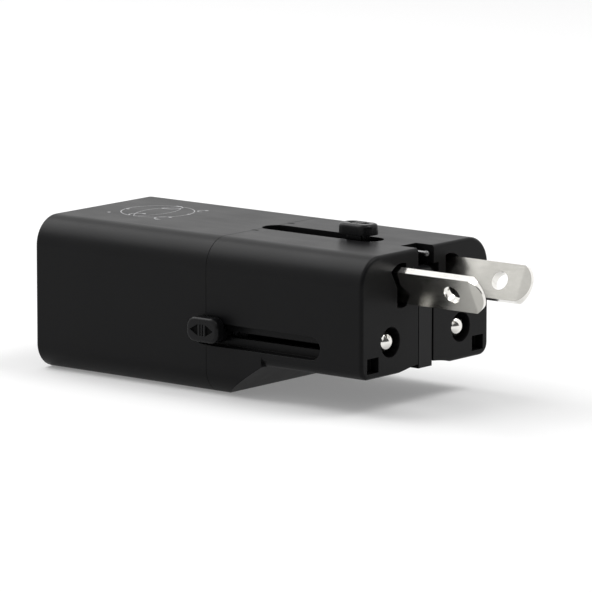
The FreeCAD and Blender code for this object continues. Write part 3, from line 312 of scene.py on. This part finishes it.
def moulding(name, dark, light, roughness, grain, depth, specular=0.10, seam=None):
    """A moulded plastic, between two colours, with a pebbled skin of a grain and depth in millimetres.

    seam is where along X two mouldings meet, in millimetres, if they do.
    """
    plastic = Finish(name, Specular_IOR_Level=specular)
    cloud = plastic.noise(CLOUD_GRAIN)
    rubbed = plastic.noise(RUBBED_GRAIN, stretch=(4, 1, 1))
    pebble = plastic.pebbles(grain) * 0.6 + plastic.noise(grain / 2) * 0.4
    tint = cloud * 0.7 + plastic.noise(SPECK_GRAIN, detail=1.0) * 0.3
    colour = plastic.blend(tint, dark, light)
    rough = roughness + (cloud - 0.5) * 0.10 + (rubbed - 0.5) * 0.08
    if seam is not None:
        gap = 1 - (plastic.along("X") - seam).size().fade(SEAM_NARROW, SEAM_WIDE)
        colour = plastic.blend(gap, colour, BLACK)
        rough = rough + gap * 0.5
        pebble = pebble - gap * SEAM_SINK
    return plastic.surface(colour, rough, pebble, depth, edge=SOFT_EDGE)


shell_plastic = moulding(
    "shell_plastic", dark=(0.0030, 0.0030, 0.0033), light=(0.0052, 0.0052, 0.0056),
    roughness=0.38, grain=0.16, depth=0.008, seam=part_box("rear_housing")[1].x / MM,
)
for name in ("front_housing", "rear_housing"):
    wear(name, shell_plastic)


# ---- Outlet -------------------------------------------------------------------------------------------
# The rear face is a separate moulded panel, dropped into a recess and held by two pan-head screws. It is
# more matt than the shells, and the blackened screws are worn to bare steel in patches.
panel_plastic = moulding(
    "panel_plastic", dark=(0.0040, 0.0040, 0.0045), light=(0.0070, 0.0070, 0.0076),
    roughness=0.50, grain=0.22, depth=0.014,
)
wear("outlet_panel", panel_plastic)


def metal(name, dark, light, roughness, grain, depth, stretch=(1, 1, 1)):
    """A bare metal between two tones, with its polishing lines drawn out along the axes by stretch."""
    plate = Finish(name, Metallic=1.0)
    lines = plate.noise(grain, stretch)
    cloud = plate.noise(4.0)
    return plate.surface(
        plate.blend(cloud * 0.6 + lines * 0.4, dark, light),
        roughness + (lines - 0.5) * 0.12 + (cloud - 0.5) * 0.10,
        lines * 0.7 + plate.noise(grain / 3) * 0.3,
        depth,
    )


black_steel = metal(
    "black_steel", dark=(0.05, 0.05, 0.052), light=(0.22, 0.215, 0.21),
    roughness=0.34, grain=0.5, depth=0.01,
)
for name in ("panel_screws", "blade_knob_screw", "pin_knob_screw"):
    wear(name, black_steel)
tinned_brass = metal(
    "tinned_brass", dark=(0.55, 0.42, 0.20), light=(0.80, 0.66, 0.36),
    roughness=0.30, grain=0.25, depth=0.006, stretch=(8, 1, 1),
)
for name in ("left_outlet_contact", "right_outlet_contact"):
    wear(name, tinned_brass)


# ---- Charging ports -----------------------------------------------------------------------------------
# Two stamped steel shells, one above the other on the far long side, with a white tongue in each that
# carries four gilded contacts. A thin moulded sheet keeps the shells apart.
stamped_steel = metal(
    "stamped_steel", dark=(0.48, 0.48, 0.48), light=(0.74, 0.74, 0.73),
    roughness=0.26, grain=0.2, depth=0.004, stretch=(1, 8, 1),
)
for name in ("lower_port_shell", "upper_port_shell"):
    wear(name, stamped_steel)
CONTACT_PITCH = 1.25
tongue = Finish("port_tongue_plastic")
port_middle = (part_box("lower_port_tongue")[0].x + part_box("lower_port_tongue")[1].x) / 2 / MM
across_port = tongue.along("X") - port_middle
gilded = 1 - across_port.off_lines(CONTACT_PITCH).fade(0.26, 0.32)
white = tongue.blend(tongue.noise(1.2), (0.62, 0.62, 0.60), (0.74, 0.74, 0.71))
port_plastic = tongue.surface(
    tongue.blend(gilded, white, (0.80, 0.58, 0.20)),
    0.45 - gilded * 0.15 + (tongue.noise(0.8) - 0.5) * 0.12,
    tongue.noise(0.15) * 0.3 + gilded * 0.7,
    0.03,
)
for name in ("lower_port_tongue", "upper_port_tongue"):
    wear(name, port_plastic)


# ---- Slider knobs -------------------------------------------------------------------------------------
# Two glossy-edged caps, each moulded with its stem and tongue in black acetal. A cap's corners are round,
# its rim is softened for the thumb, and two arrows with two bars between them are sunk into its top. The
# floors of these sunk marks are painted near-black as shade in the recesses.
knob_plastic = moulding(
    "knob_plastic", dark=(0.0036, 0.0036, 0.0040), light=(0.0060, 0.0060, 0.0065),
    roughness=0.28, grain=0.20, depth=0.005, specular=0.13,
)
# Near-black: the printed ink of the dashes on the top, and painted shade on the floors of the caps' sunk
# marks.
ink_and_recess_shade = moulding(
    "ink_and_recess_shade", dark=(0.0004, 0.0004, 0.0005), light=(0.0012, 0.0012, 0.0013),
    roughness=0.60, grain=0.20, depth=0.006, specular=0.05,
)


def select(piece, test, kind="EDGE"):
    """Enter a piece, and select its edges or faces that pass a test."""
    bpy.ops.object.mode_set(mode="EDIT")
    bpy.ops.mesh.select_mode(type=kind)
    bpy.ops.mesh.select_all(action="DESELECT")
    bpy.ops.object.mode_set(mode="OBJECT")
    parts = piece.data.edges if kind == "EDGE" else piece.data.polygons
    for part in parts:
        ends = [piece.data.vertices[index].co for index in part.vertices]
        part.select = test(ends)
    bpy.ops.object.mode_set(mode="EDIT")


def block(name, size, top):
    """A block of a size that hangs from the middle of its top, its place in its mesh."""
    bpy.ops.object.select_all(action="DESELECT")
    bpy.ops.mesh.primitive_cube_add(
        size=1, location=Vector(top) - Vector((0, 0, size.z / 2)), scale=size
    )
    bpy.ops.object.transform_apply(location=True, rotation=True, scale=True)
    bpy.context.object.name = name
    return bpy.context.object


def drum(name, radius, depth, place, turn, sides=64):
    """A drum at a place, its axis turned from Z, its place in its mesh."""
    bpy.ops.object.select_all(action="DESELECT")
    bpy.ops.mesh.primitive_cylinder_add(
        vertices=sides, radius=radius, depth=depth, location=place, rotation=turn
    )
    bpy.ops.object.transform_apply(location=True, rotation=True, scale=True)
    bpy.context.object.name = name
    return bpy.context.object


def modify(piece, kind, **settings):
    """Give a piece a modifier and apply it."""
    bpy.ops.object.select_all(action="DESELECT")
    piece.select_set(True)
    bpy.context.view_layer.objects.active = piece
    modifier = piece.modifiers.new(kind.lower(), kind)
    for setting, choice in settings.items():
        setattr(modifier, setting, choice)
    bpy.ops.object.modifier_apply(modifier=modifier.name)


def carve(piece, cutter):
    """Take a cutter out of a piece."""
    modify(piece, "BOOLEAN", operation="DIFFERENCE", object=cutter, solver="EXACT")
    bpy.data.objects.remove(cutter)


def unite(piece, *others):
    """Join others to a piece as one object."""
    bpy.ops.object.select_all(action="DESELECT")
    for other in others:
        other.select_set(True)
    piece.select_set(True)
    bpy.context.view_layer.objects.active = piece
    bpy.ops.object.join()
    return piece


def same(one, other):
    """Whether two lengths are within a micron."""
    return abs(one - other) < 1e-6


KNOB = Vector((6.8, 4.3, 1.85)) * MM
KNOB_CORNER = 1.75 * MM
KNOB_RIM = 0.6 * MM
KNOB_CREASE = math.radians(35)
MARK_DEPTH = 0.25 * MM
BAR = Vector((0.26, 2.0, 0.5)) * MM
BAR_PLACE = 0.27 * MM
ARROW_RADIUS = 1.17 * MM
ARROW_PLACE = 1.38 * MM
STEM = Vector((3.2, 2.6, 2.4)) * MM
STEM_EDGE = 0.3 * MM
TONGUE = Vector((3.0, 0.84, 1.7)) * MM
TONGUE_EDGE = 0.1 * MM


def slider_knob(name, cap_middle, stem_along, stem_aside):
    """A knob lying on its back: its cap's top at cap_middle, its stem off that along X and aside."""
    x, y, top = cap_middle
    cap = block(name, KNOB, cap_middle)
    cap.data.materials.append(knob_plastic)
    cap.data.materials.append(ink_and_recess_shade)
    select(cap, lambda ends: same(ends[0].x, ends[1].x) and same(ends[0].y, ends[1].y))
    bpy.ops.mesh.bevel(offset=KNOB_CORNER, segments=10, affect="EDGES")
    select(cap, lambda ends: all(same(end.z, top) for end in ends))
    bpy.ops.mesh.bevel(offset=KNOB_RIM, segments=5, affect="EDGES")
    bpy.ops.object.mode_set(mode="OBJECT")
    for side in (-1, 1):
        carve(cap, block("bar", BAR, (x + side * BAR_PLACE, y, top + MARK_DEPTH)))
        carve(cap, drum(
            "arrow", ARROW_RADIUS, 2 * MARK_DEPTH, (x + side * ARROW_PLACE, y, top),
            (0, 0, math.radians(-90 * side)), sides=3,
        ))
    # Painted shade: the floors of the sunk marks take the near-black material.
    for face in cap.data.polygons:
        sunk = same(face.center.z, top - MARK_DEPTH) and face.normal.z > 0.9
        face.material_index = 1 if sunk else 0
    foot = Vector((x + stem_along, y + stem_aside, top - KNOB.z))
    stem = block("stem", STEM, foot)
    modify(stem, "BEVEL", width=STEM_EDGE, segments=3)
    tongue = block("tongue", TONGUE, foot - Vector((0, 0, STEM.z)))
    modify(tongue, "BEVEL", width=TONGUE_EDGE, segments=2)
    for part in (stem, tongue):
        part.data.materials.append(knob_plastic)
    unite(cap, stem, tongue)
    bpy.ops.object.shade_smooth_by_angle(angle=KNOB_CREASE)
    modify(cap, "WEIGHTED_NORMAL", keep_sharp=True, weight=100)
    return cap


low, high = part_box("blade_knob")
top_knob = slider_knob("top_knob", ((low.x + high.x) / 2, 0, high.z), 0, 0)
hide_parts("blade_knob")
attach(top_knob, "blade_slider")

CAP_RISE = 0.97 * MM
CAP_REARWARD = 0.5 * MM
low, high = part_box("pin_knob")
side_cap = ((low.x + high.x) / 2 - CAP_REARWARD, high.z - KNOB.y / 2, -low.y)
side_knob = slider_knob("side_knob", side_cap, CAP_REARWARD, -CAP_RISE)
side_knob.rotation_euler = (math.radians(90), 0, 0)
bpy.ops.object.transform_apply(location=True, rotation=True, scale=True)
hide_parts("pin_knob")
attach(side_knob, "pin_slider")


# ---- Flat blades --------------------------------------------------------------------------------------
# Two brass blades, blanked with a round tip, coined to a chisel edge on both faces, pierced with the
# contact hole and then nickel plated. The plate is satin and warm with fine lines along the blade, and
# bright on the burnished edges and round the hole.
nickel = metal(
    "nickel", dark=(0.38, 0.372, 0.345), light=(0.56, 0.55, 0.515),
    roughness=0.20, grain=0.18, depth=0.0025, stretch=(12, 1, 1),
)
bright_nickel = metal(
    "bright_nickel", dark=(0.72, 0.705, 0.67), light=(0.90, 0.885, 0.85),
    roughness=0.12, grain=0.10, depth=0.0015,
)
BLADE_THICK = 1.5 * MM
BLADE_HALF = 3.175 * MM
TIP_RISE = 1.8 * MM
TIP_EDGE = 0.6 * MM
TIP_RADIUS = (BLADE_HALF ** 2 + TIP_RISE ** 2) / (2 * TIP_RISE)
BLADE_ROOT = 44.5 * MM
HOLE_RADIUS = 1.575 * MM
HOLE_REACH = 10.95 * MM
TRUNNION_RADIUS = 1.8 * MM
BLADE_TWIST = math.radians(26)
BLADE_EDGE = 0.11 * MM
TRUNNION_EDGE = 0.2 * MM
BLADE_CREASE = math.radians(28)
BURNISHED = 0.35
ALONG_Y = (math.radians(90), 0, 0)
ALONG_X = (0, math.radians(90), 0)


def trim(point, outward):
    """Cut the selected piece at a plane, and drop and close what lies outward of it."""
    bpy.ops.mesh.select_all(action="SELECT")
    bpy.ops.mesh.bisect(
        plane_co=point, plane_no=outward, use_fill=True, clear_outer=True, threshold=1e-7
    )


for side, name in ((-1, "left_blade"), (1, "right_blade")):
    low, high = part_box(name)
    axis = (low + high) / 2
    tip = high.x
    centre = tip - TIP_RADIUS
    blade = drum(f"{name}_plated", TIP_RADIUS, BLADE_THICK, (centre, 0, 0), ALONG_Y, sides=160)
    bpy.ops.object.mode_set(mode="EDIT")
    trim((0, 0, BLADE_HALF), (0, 0, 1))
    trim((0, 0, -BLADE_HALF), (0, 0, -1))
    trim((centre, 0, 0), (-1, 0, 0))
    bpy.ops.object.mode_set(mode="OBJECT")
    select(blade, lambda ends: all(same(end.x, centre) for end in ends), kind="FACE")
    bpy.ops.mesh.extrude_region_move(TRANSFORM_OT_translate={"value": (BLADE_ROOT - centre, 0, 0)})
    for face in (-1, 1):
        trim(
            (tip - TIP_RISE, face * BLADE_THICK / 2, 0),
            (BLADE_THICK / 2 - TIP_EDGE / 2, face * TIP_RISE, 0),
        )
    bpy.ops.object.mode_set(mode="OBJECT")
    carve(blade, drum("hole", HOLE_RADIUS, 3 * BLADE_THICK, (plug_face + HOLE_REACH, 0, 0), ALONG_Y))
    modify(
        blade, "BEVEL", width=BLADE_EDGE, segments=3, limit_method="ANGLE", angle_limit=math.radians(30)
    )
    trunnion_length = BLADE_ROOT - low.x
    trunnion = drum(
        "trunnion", TRUNNION_RADIUS, trunnion_length, (low.x + trunnion_length / 2, 0, 0), ALONG_X
    )
    modify(trunnion, "BEVEL", width=TRUNNION_EDGE, segments=2, limit_method="ANGLE")
    unite(blade, trunnion)
    bpy.ops.object.shade_smooth_by_angle(angle=BLADE_CREASE)
    modify(blade, "WEIGHTED_NORMAL", keep_sharp=True, weight=100)
    blade.data.materials.append(nickel)
    blade.data.materials.append(bright_nickel)
    for face in blade.data.polygons:
        edge_or_hole = abs(face.normal.y) < BURNISHED and face.center.x > BLADE_ROOT
        face.material_index = 1 if edge_or_hole else 0
    blade.rotation_euler = (-side * BLADE_TWIST, 0, 0)
    blade.location = (0, axis.y, axis.z)
    bpy.ops.object.transform_apply(location=True, rotation=True, scale=True)
    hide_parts(name)
    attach(blade, f"{name}_set")

carriage_plastic = moulding(
    "carriage_plastic", dark=(0.020, 0.020, 0.022), light=(0.034, 0.034, 0.036),
    roughness=0.45, grain=0.30, depth=0.008,
)
for name in ("left_blade_collar", "right_blade_collar", "blade_carriage"):
    wear(name, carriage_plastic)


# ---- Springs ------------------------------------------------------------------------------------------
# Clips on the blades' trunnions and the two click springs are cut from bright spring steel, whose rolling
# lines run along each strip. The earth pin's hinge pin and its spring are of darker, drawn music wire.
spring_steel = metal(
    "spring_steel", dark=(0.42, 0.42, 0.42), light=(0.66, 0.66, 0.67),
    roughness=0.22, grain=0.15, depth=0.003, stretch=(6, 1, 1),
)
for name in ("left_blade_clip", "right_blade_clip", "blade_detent_spring", "pin_detent_spring"):
    wear(name, spring_steel)
music_wire = metal(
    "music_wire", dark=(0.09, 0.09, 0.092), light=(0.20, 0.20, 0.20),
    roughness=0.38, grain=0.15, depth=0.003, stretch=(6, 1, 1),
)
for name in ("earth_hinge_pin", "earth_spring_wire"):
    wear(name, music_wire)


# ---- Round pins ---------------------------------------------------------------------------------------
# Turned brass pins with polished nickel domes, whose shanks are waisted under black insulating sleeves.
# At rest their tips lie level with the plug face, in the two wells.
sleeve_plastic = moulding(
    "sleeve_plastic", dark=(0.008, 0.008, 0.009), light=(0.013, 0.013, 0.014),
    roughness=0.36, grain=0.25, depth=0.004,
)
PIN_RADIUS = 2.0 * MM
NECK_RADIUS = 1.5 * MM
DOME_STEPS = 24
PIN_CREASE = math.radians(30)
for side in ("left", "right"):
    low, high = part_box(f"{side}_round_pin")
    neck_low, neck_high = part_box(f"{side}_pin_sleeve")
    x, radius = low.x, PIN_RADIUS
    y, z = (low.y + high.y) / 2, (low.z + high.z) / 2
    profile = [
        (neck_low.x, PIN_RADIUS), (neck_low.x, NECK_RADIUS),
        (neck_high.x, NECK_RADIUS), (neck_high.x, PIN_RADIUS),
    ]
    for step in range(DOME_STEPS):
        angle = math.radians(90) * step / DOME_STEPS
        profile.append((
            high.x - PIN_RADIUS + PIN_RADIUS * math.sin(angle), PIN_RADIUS * math.cos(angle)
        ))
    bpy.ops.object.select_all(action="DESELECT")
    bpy.ops.mesh.primitive_circle_add(
        vertices=96, radius=radius, fill_type="NGON", location=(x, y, z), rotation=ALONG_X
    )
    bpy.ops.object.transform_apply(location=True, rotation=True, scale=True)
    pin = bpy.context.object
    pin.name = f"{side}_pin_turned"
    bpy.ops.object.mode_set(mode="EDIT")
    bpy.ops.mesh.select_all(action="SELECT")
    for next_x, next_radius in profile:
        bpy.ops.mesh.extrude_region_move(TRANSFORM_OT_translate={"value": (next_x - x, 0, 0)})
        ratio = next_radius / radius
        bpy.ops.transform.resize(value=(1, ratio, ratio), center_override=(next_x, y, z))
        x, radius = next_x, next_radius
    bpy.ops.mesh.extrude_region_move(TRANSFORM_OT_translate={"value": (high.x - x, 0, 0)})
    bpy.ops.mesh.merge(type="CENTER")
    bpy.ops.mesh.select_all(action="SELECT")
    bpy.ops.mesh.normals_make_consistent(inside=False)
    bpy.ops.object.mode_set(mode="OBJECT")
    bpy.ops.object.shade_smooth_by_angle(angle=PIN_CREASE)
    pin.data.materials.append(bright_nickel)
    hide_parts(f"{side}_round_pin")
    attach(pin, "pin_slider")
    wear(f"{side}_pin_sleeve", sleeve_plastic)
wear("pin_carriage", carriage_plastic)


# ---- Earth pin ----------------------------------------------------------------------------------------
# A moulded bar that folds flat into a channel in the plug face. It is the same black plastic as the
# shells but from a polished mould. Its two long flanks are matt, and painted black as the shade in the
# channel gap.
EARTH_HALF = 1.8
EARTH_EDGE = 0.22
earth = Finish("earth_plastic", Specular_IOR_Level=0.14)
# Painted shade: the two long flanks go black, standing in for the shade in the gap beside the channel.
flank_shade = earth.along("Y").size().fade(EARTH_HALF - 0.10, EARTH_HALF - 0.02)
cloud = earth.noise(6.0)
earth_tint = earth.blend(cloud, (0.0040, 0.0040, 0.0044), (0.0068, 0.0068, 0.0073))
earth_plastic = earth.surface(
    earth.blend(flank_shade, earth_tint, BLACK),
    0.33 + (cloud - 0.5) * 0.10 + flank_shade * 0.6,
    earth.pebbles(0.30) - flank_shade * 6,
    0.006,
    edge=EARTH_EDGE,
)
wear("earth_pin", earth_plastic)


# ---- Inner walls and current path ---------------------------------------------------------------------
# Dark moulded walls keep the two carriages apart. Rolled brass bars run along both sides, and bent brass
# wipers on the carriages touch them; the brass has dulled a little and shows its rolling lines.
for name in ("partition", "divider", "port_spacer", "fuse_holder"):
    wear(name, carriage_plastic)
rolled_brass = metal(
    "rolled_brass", dark=(0.46, 0.32, 0.12), light=(0.74, 0.56, 0.26),
    roughness=0.32, grain=0.2, depth=0.004, stretch=(14, 1, 1),
)
for name in ("left_busbar", "right_busbar", "left_pin_wiper", "right_pin_wiper", "left_blade_wiper",
             "right_blade_wiper", "fuse_clips"):
    wear(name, rolled_brass)


# ---- Charger ------------------------------------------------------------------------------------------
# A green board with etched copper under its lacquer carries a ferrite transformer, wound with enamelled
# copper inside yellow tape, and aluminium capacitors in dark blue sleeves with a pale stripe.
TRACK_PITCH, LANE_PITCH = 1.3, 2.1
lacquer = Finish("board_lacquer")
tracks = lacquer.along("X").off_lines(TRACK_PITCH).fade(0.30, 0.36)
lanes = lacquer.along("Y").off_lines(LANE_PITCH).fade(0.55, 0.62)
copper_under = tracks * lanes
board_material = lacquer.surface(
    lacquer.blend(copper_under, (0.012, 0.075, 0.030), (0.030, 0.150, 0.055)),
    0.30 + (lacquer.noise(1.5) - 0.5) * 0.15,
    copper_under * 0.8 + lacquer.noise(0.3) * 0.2,
    0.03,
)
wear("charger_board", board_material)

ferrite = Finish("ferrite")
speck = ferrite.pebbles(0.35)
ferrite_material = ferrite.surface(
    ferrite.blend(speck.fade(0.1, 0.6), (0.018, 0.018, 0.020), (0.045, 0.044, 0.046)),
    0.62 + (ferrite.noise(0.5) - 0.5) * 0.2,
    speck,
    0.03,
)
wear("transformer_core", ferrite_material)

WIRE_PITCH = 0.16
copper = Finish("winding_copper", Metallic=1.0)
turns = copper.along("Y").repeat(WIRE_PITCH / 2) / (WIRE_PITCH / 2)
winding_material = copper.surface(
    copper.blend(turns, (0.20, 0.07, 0.025), (0.74, 0.32, 0.15)),
    0.28 + (copper.noise(0.6) - 0.5) * 0.15,
    turns,
    0.06,
)
wear("transformer_winding", winding_material)

LAYER_PITCH = 1.1
tape = Finish("yellow_tape", Coat_Weight=0.4)
layers = (tape.along("Y") + tape.noise(2.0) * 0.4).repeat(LAYER_PITCH).fade(0.0, 0.12)
tape_material = tape.surface(
    tape.blend(layers * 0.5 + tape.noise(1.0) * 0.5, (0.48, 0.28, 0.02), (0.80, 0.56, 0.06)),
    0.26 + (tape.noise(0.8) - 0.5) * 0.16,
    layers,
    0.02,
)
wear("transformer_tape", tape_material)

STRIPE_ASIDE = -0.4
sleeve = Finish("capacitor_film", Coat_Weight=0.5)
capacitor_low, capacitor_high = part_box("mains_capacitor")
stripe_place = (capacitor_low.y + capacitor_high.y) / 2 / MM + STRIPE_ASIDE
crown_place = capacitor_high.z / MM
stripe = (sleeve.along("Y") - stripe_place).size().fade(0.5, 0.6)
crown = sleeve.along("Z").fade(crown_place - 0.25, crown_place - 0.15)
film = sleeve.blend(stripe, (0.55, 0.57, 0.60), (0.010, 0.016, 0.045))
film_material = sleeve.surface(
    sleeve.blend(crown, film, (0.62, 0.62, 0.62)),
    0.28 + (sleeve.noise(1.0) - 0.5) * 0.14,
    stripe * 0.5 + sleeve.noise(0.4) * 0.5,
    0.02,
)
for name in ("mains_capacitor", "output_capacitors"):
    wear(name, film_material)


# ---- Fuse ---------------------------------------------------------------------------------------------
# A glass tube fuse with plated end caps, pressed into two brass clips on a moulded holder. The glass is
# clear with faint drawing lines along it and a little grease from handling.
glass = Finish("fuse_glass", Transmission_Weight=1.0, IOR=1.5)
drawn = glass.noise(0.2, (20, 1, 1))
glass_material = glass.surface(
    glass.blend(drawn, (0.90, 0.94, 0.93), (0.98, 1.0, 0.99)),
    0.04 + glass.noise(1.5).fade(0.5, 0.9) * 0.15,
    drawn,
    0.002,
)
wear("fuse_tube", glass_material)
wear("fuse_caps", bright_nickel)


# ---- Prints -------------------------------------------------------------------------------------------
# A pad-printed globe of thin pale arcs and dots near the rear of the top, with no lettering, and two
# short black dashes that mark where the rear end of the top groove is.
PRINT_LIFT = 0.012 * MM
paint = Finish("print_paint")
patchy = paint.noise(0.3)
print_material = paint.surface(
    paint.blend(patchy, (0.30, 0.30, 0.31), (0.48, 0.48, 0.49)),
    0.5 + (patchy - 0.5) * 0.2,
    patchy,
    0.004,
)
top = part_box("rear_housing")[1].z


def printed_arc(name, x, y, radius, first, last, width=0.22, steps=48):
    """A thin arc on the top, spun from first to last degrees round x and y. Lengths are in millimetres."""
    centre = Vector((x * MM, y * MM, top + PRINT_LIFT))
    outward = Vector((math.cos(math.radians(first)), math.sin(math.radians(first)), 0)) * MM
    bpy.ops.object.select_all(action="DESELECT")
    bpy.ops.mesh.primitive_plane_add(size=width * MM, location=centre)
    arc = bpy.context.object
    arc.name = name
    bpy.ops.object.mode_set(mode="EDIT")
    bpy.ops.mesh.select_mode(type="VERT")
    bpy.ops.mesh.select_all(action="SELECT")
    bpy.ops.mesh.merge(type="CENTER")
    bpy.ops.transform.translate(value=outward * (radius - width / 2))
    bpy.ops.mesh.extrude_vertices_move(TRANSFORM_OT_translate={"value": outward * width})
    bpy.ops.mesh.select_all(action="SELECT")
    bpy.ops.mesh.spin(steps=steps, angle=math.radians(last - first), center=centre, axis=(0, 0, -1))
    bpy.ops.mesh.select_all(action="SELECT")
    bpy.ops.mesh.remove_doubles(threshold=1e-7)
    bpy.ops.mesh.normals_make_consistent(inside=False)
    bpy.ops.object.mode_set(mode="OBJECT")
    bpy.ops.object.transform_apply(location=True, rotation=True, scale=True)
    return arc


arcs = [
    printed_arc("ornament", -7.9, 0.5, 6.35, 0, 360, width=0.16, steps=96),
    printed_arc("near_meridian", -14.6, 0.5, 9.2, -42, 42, width=0.14),
    printed_arc("far_meridian", -1.2, 0.5, 9.2, 138, 222, width=0.14),
    printed_arc("first_loop", -8.3, -4.4, 1.45, 60, 300),
    printed_arc("second_loop", -2.3, -4.6, 1.5, 80, 290),
    printed_arc("third_loop", -2.0, 5.6, 0.9, 70, 300),
    printed_arc("fourth_loop", -8.7, 5.4, 1.7, -100, 110, width=0.32),
]
DOT_RADIUS, DOT_THICK = 0.3 * MM, 0.03 * MM
dots = [
    drum("dot", DOT_RADIUS, DOT_THICK, (x * MM, y * MM, top), (0, 0, 0), sides=32)
    for x, y in (
        (-13.9, -5.4), (-13.7, -0.6), (-9.4, 3.7), (-8.1, -2.9),
        (-2.0, -3.1), (-1.7, 1.5), (-1.8, 6.4), (-2.5, -6.1),
    )
]
ornament = unite(*arcs, *dots)
ornament.data.materials.append(print_material)
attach(ornament, "housing")

DASH = Vector((1.3, 0.30, 0.06)) * MM
DASH_EDGE = 0.02 * MM
dashes = []
for x, y in ((18.1, -4.6), (18.2, 4.9)):
    dash = block("dash", DASH, (x * MM, y * MM, top + DASH.z / 2))
    modify(dash, "BEVEL", width=DASH_EDGE, segments=2)
    dashes.append(dash)
knob_marks = unite(*dashes)
knob_marks.name = "knob_marks"
knob_marks.data.materials.append(ink_and_recess_shade)
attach(knob_marks, "housing")
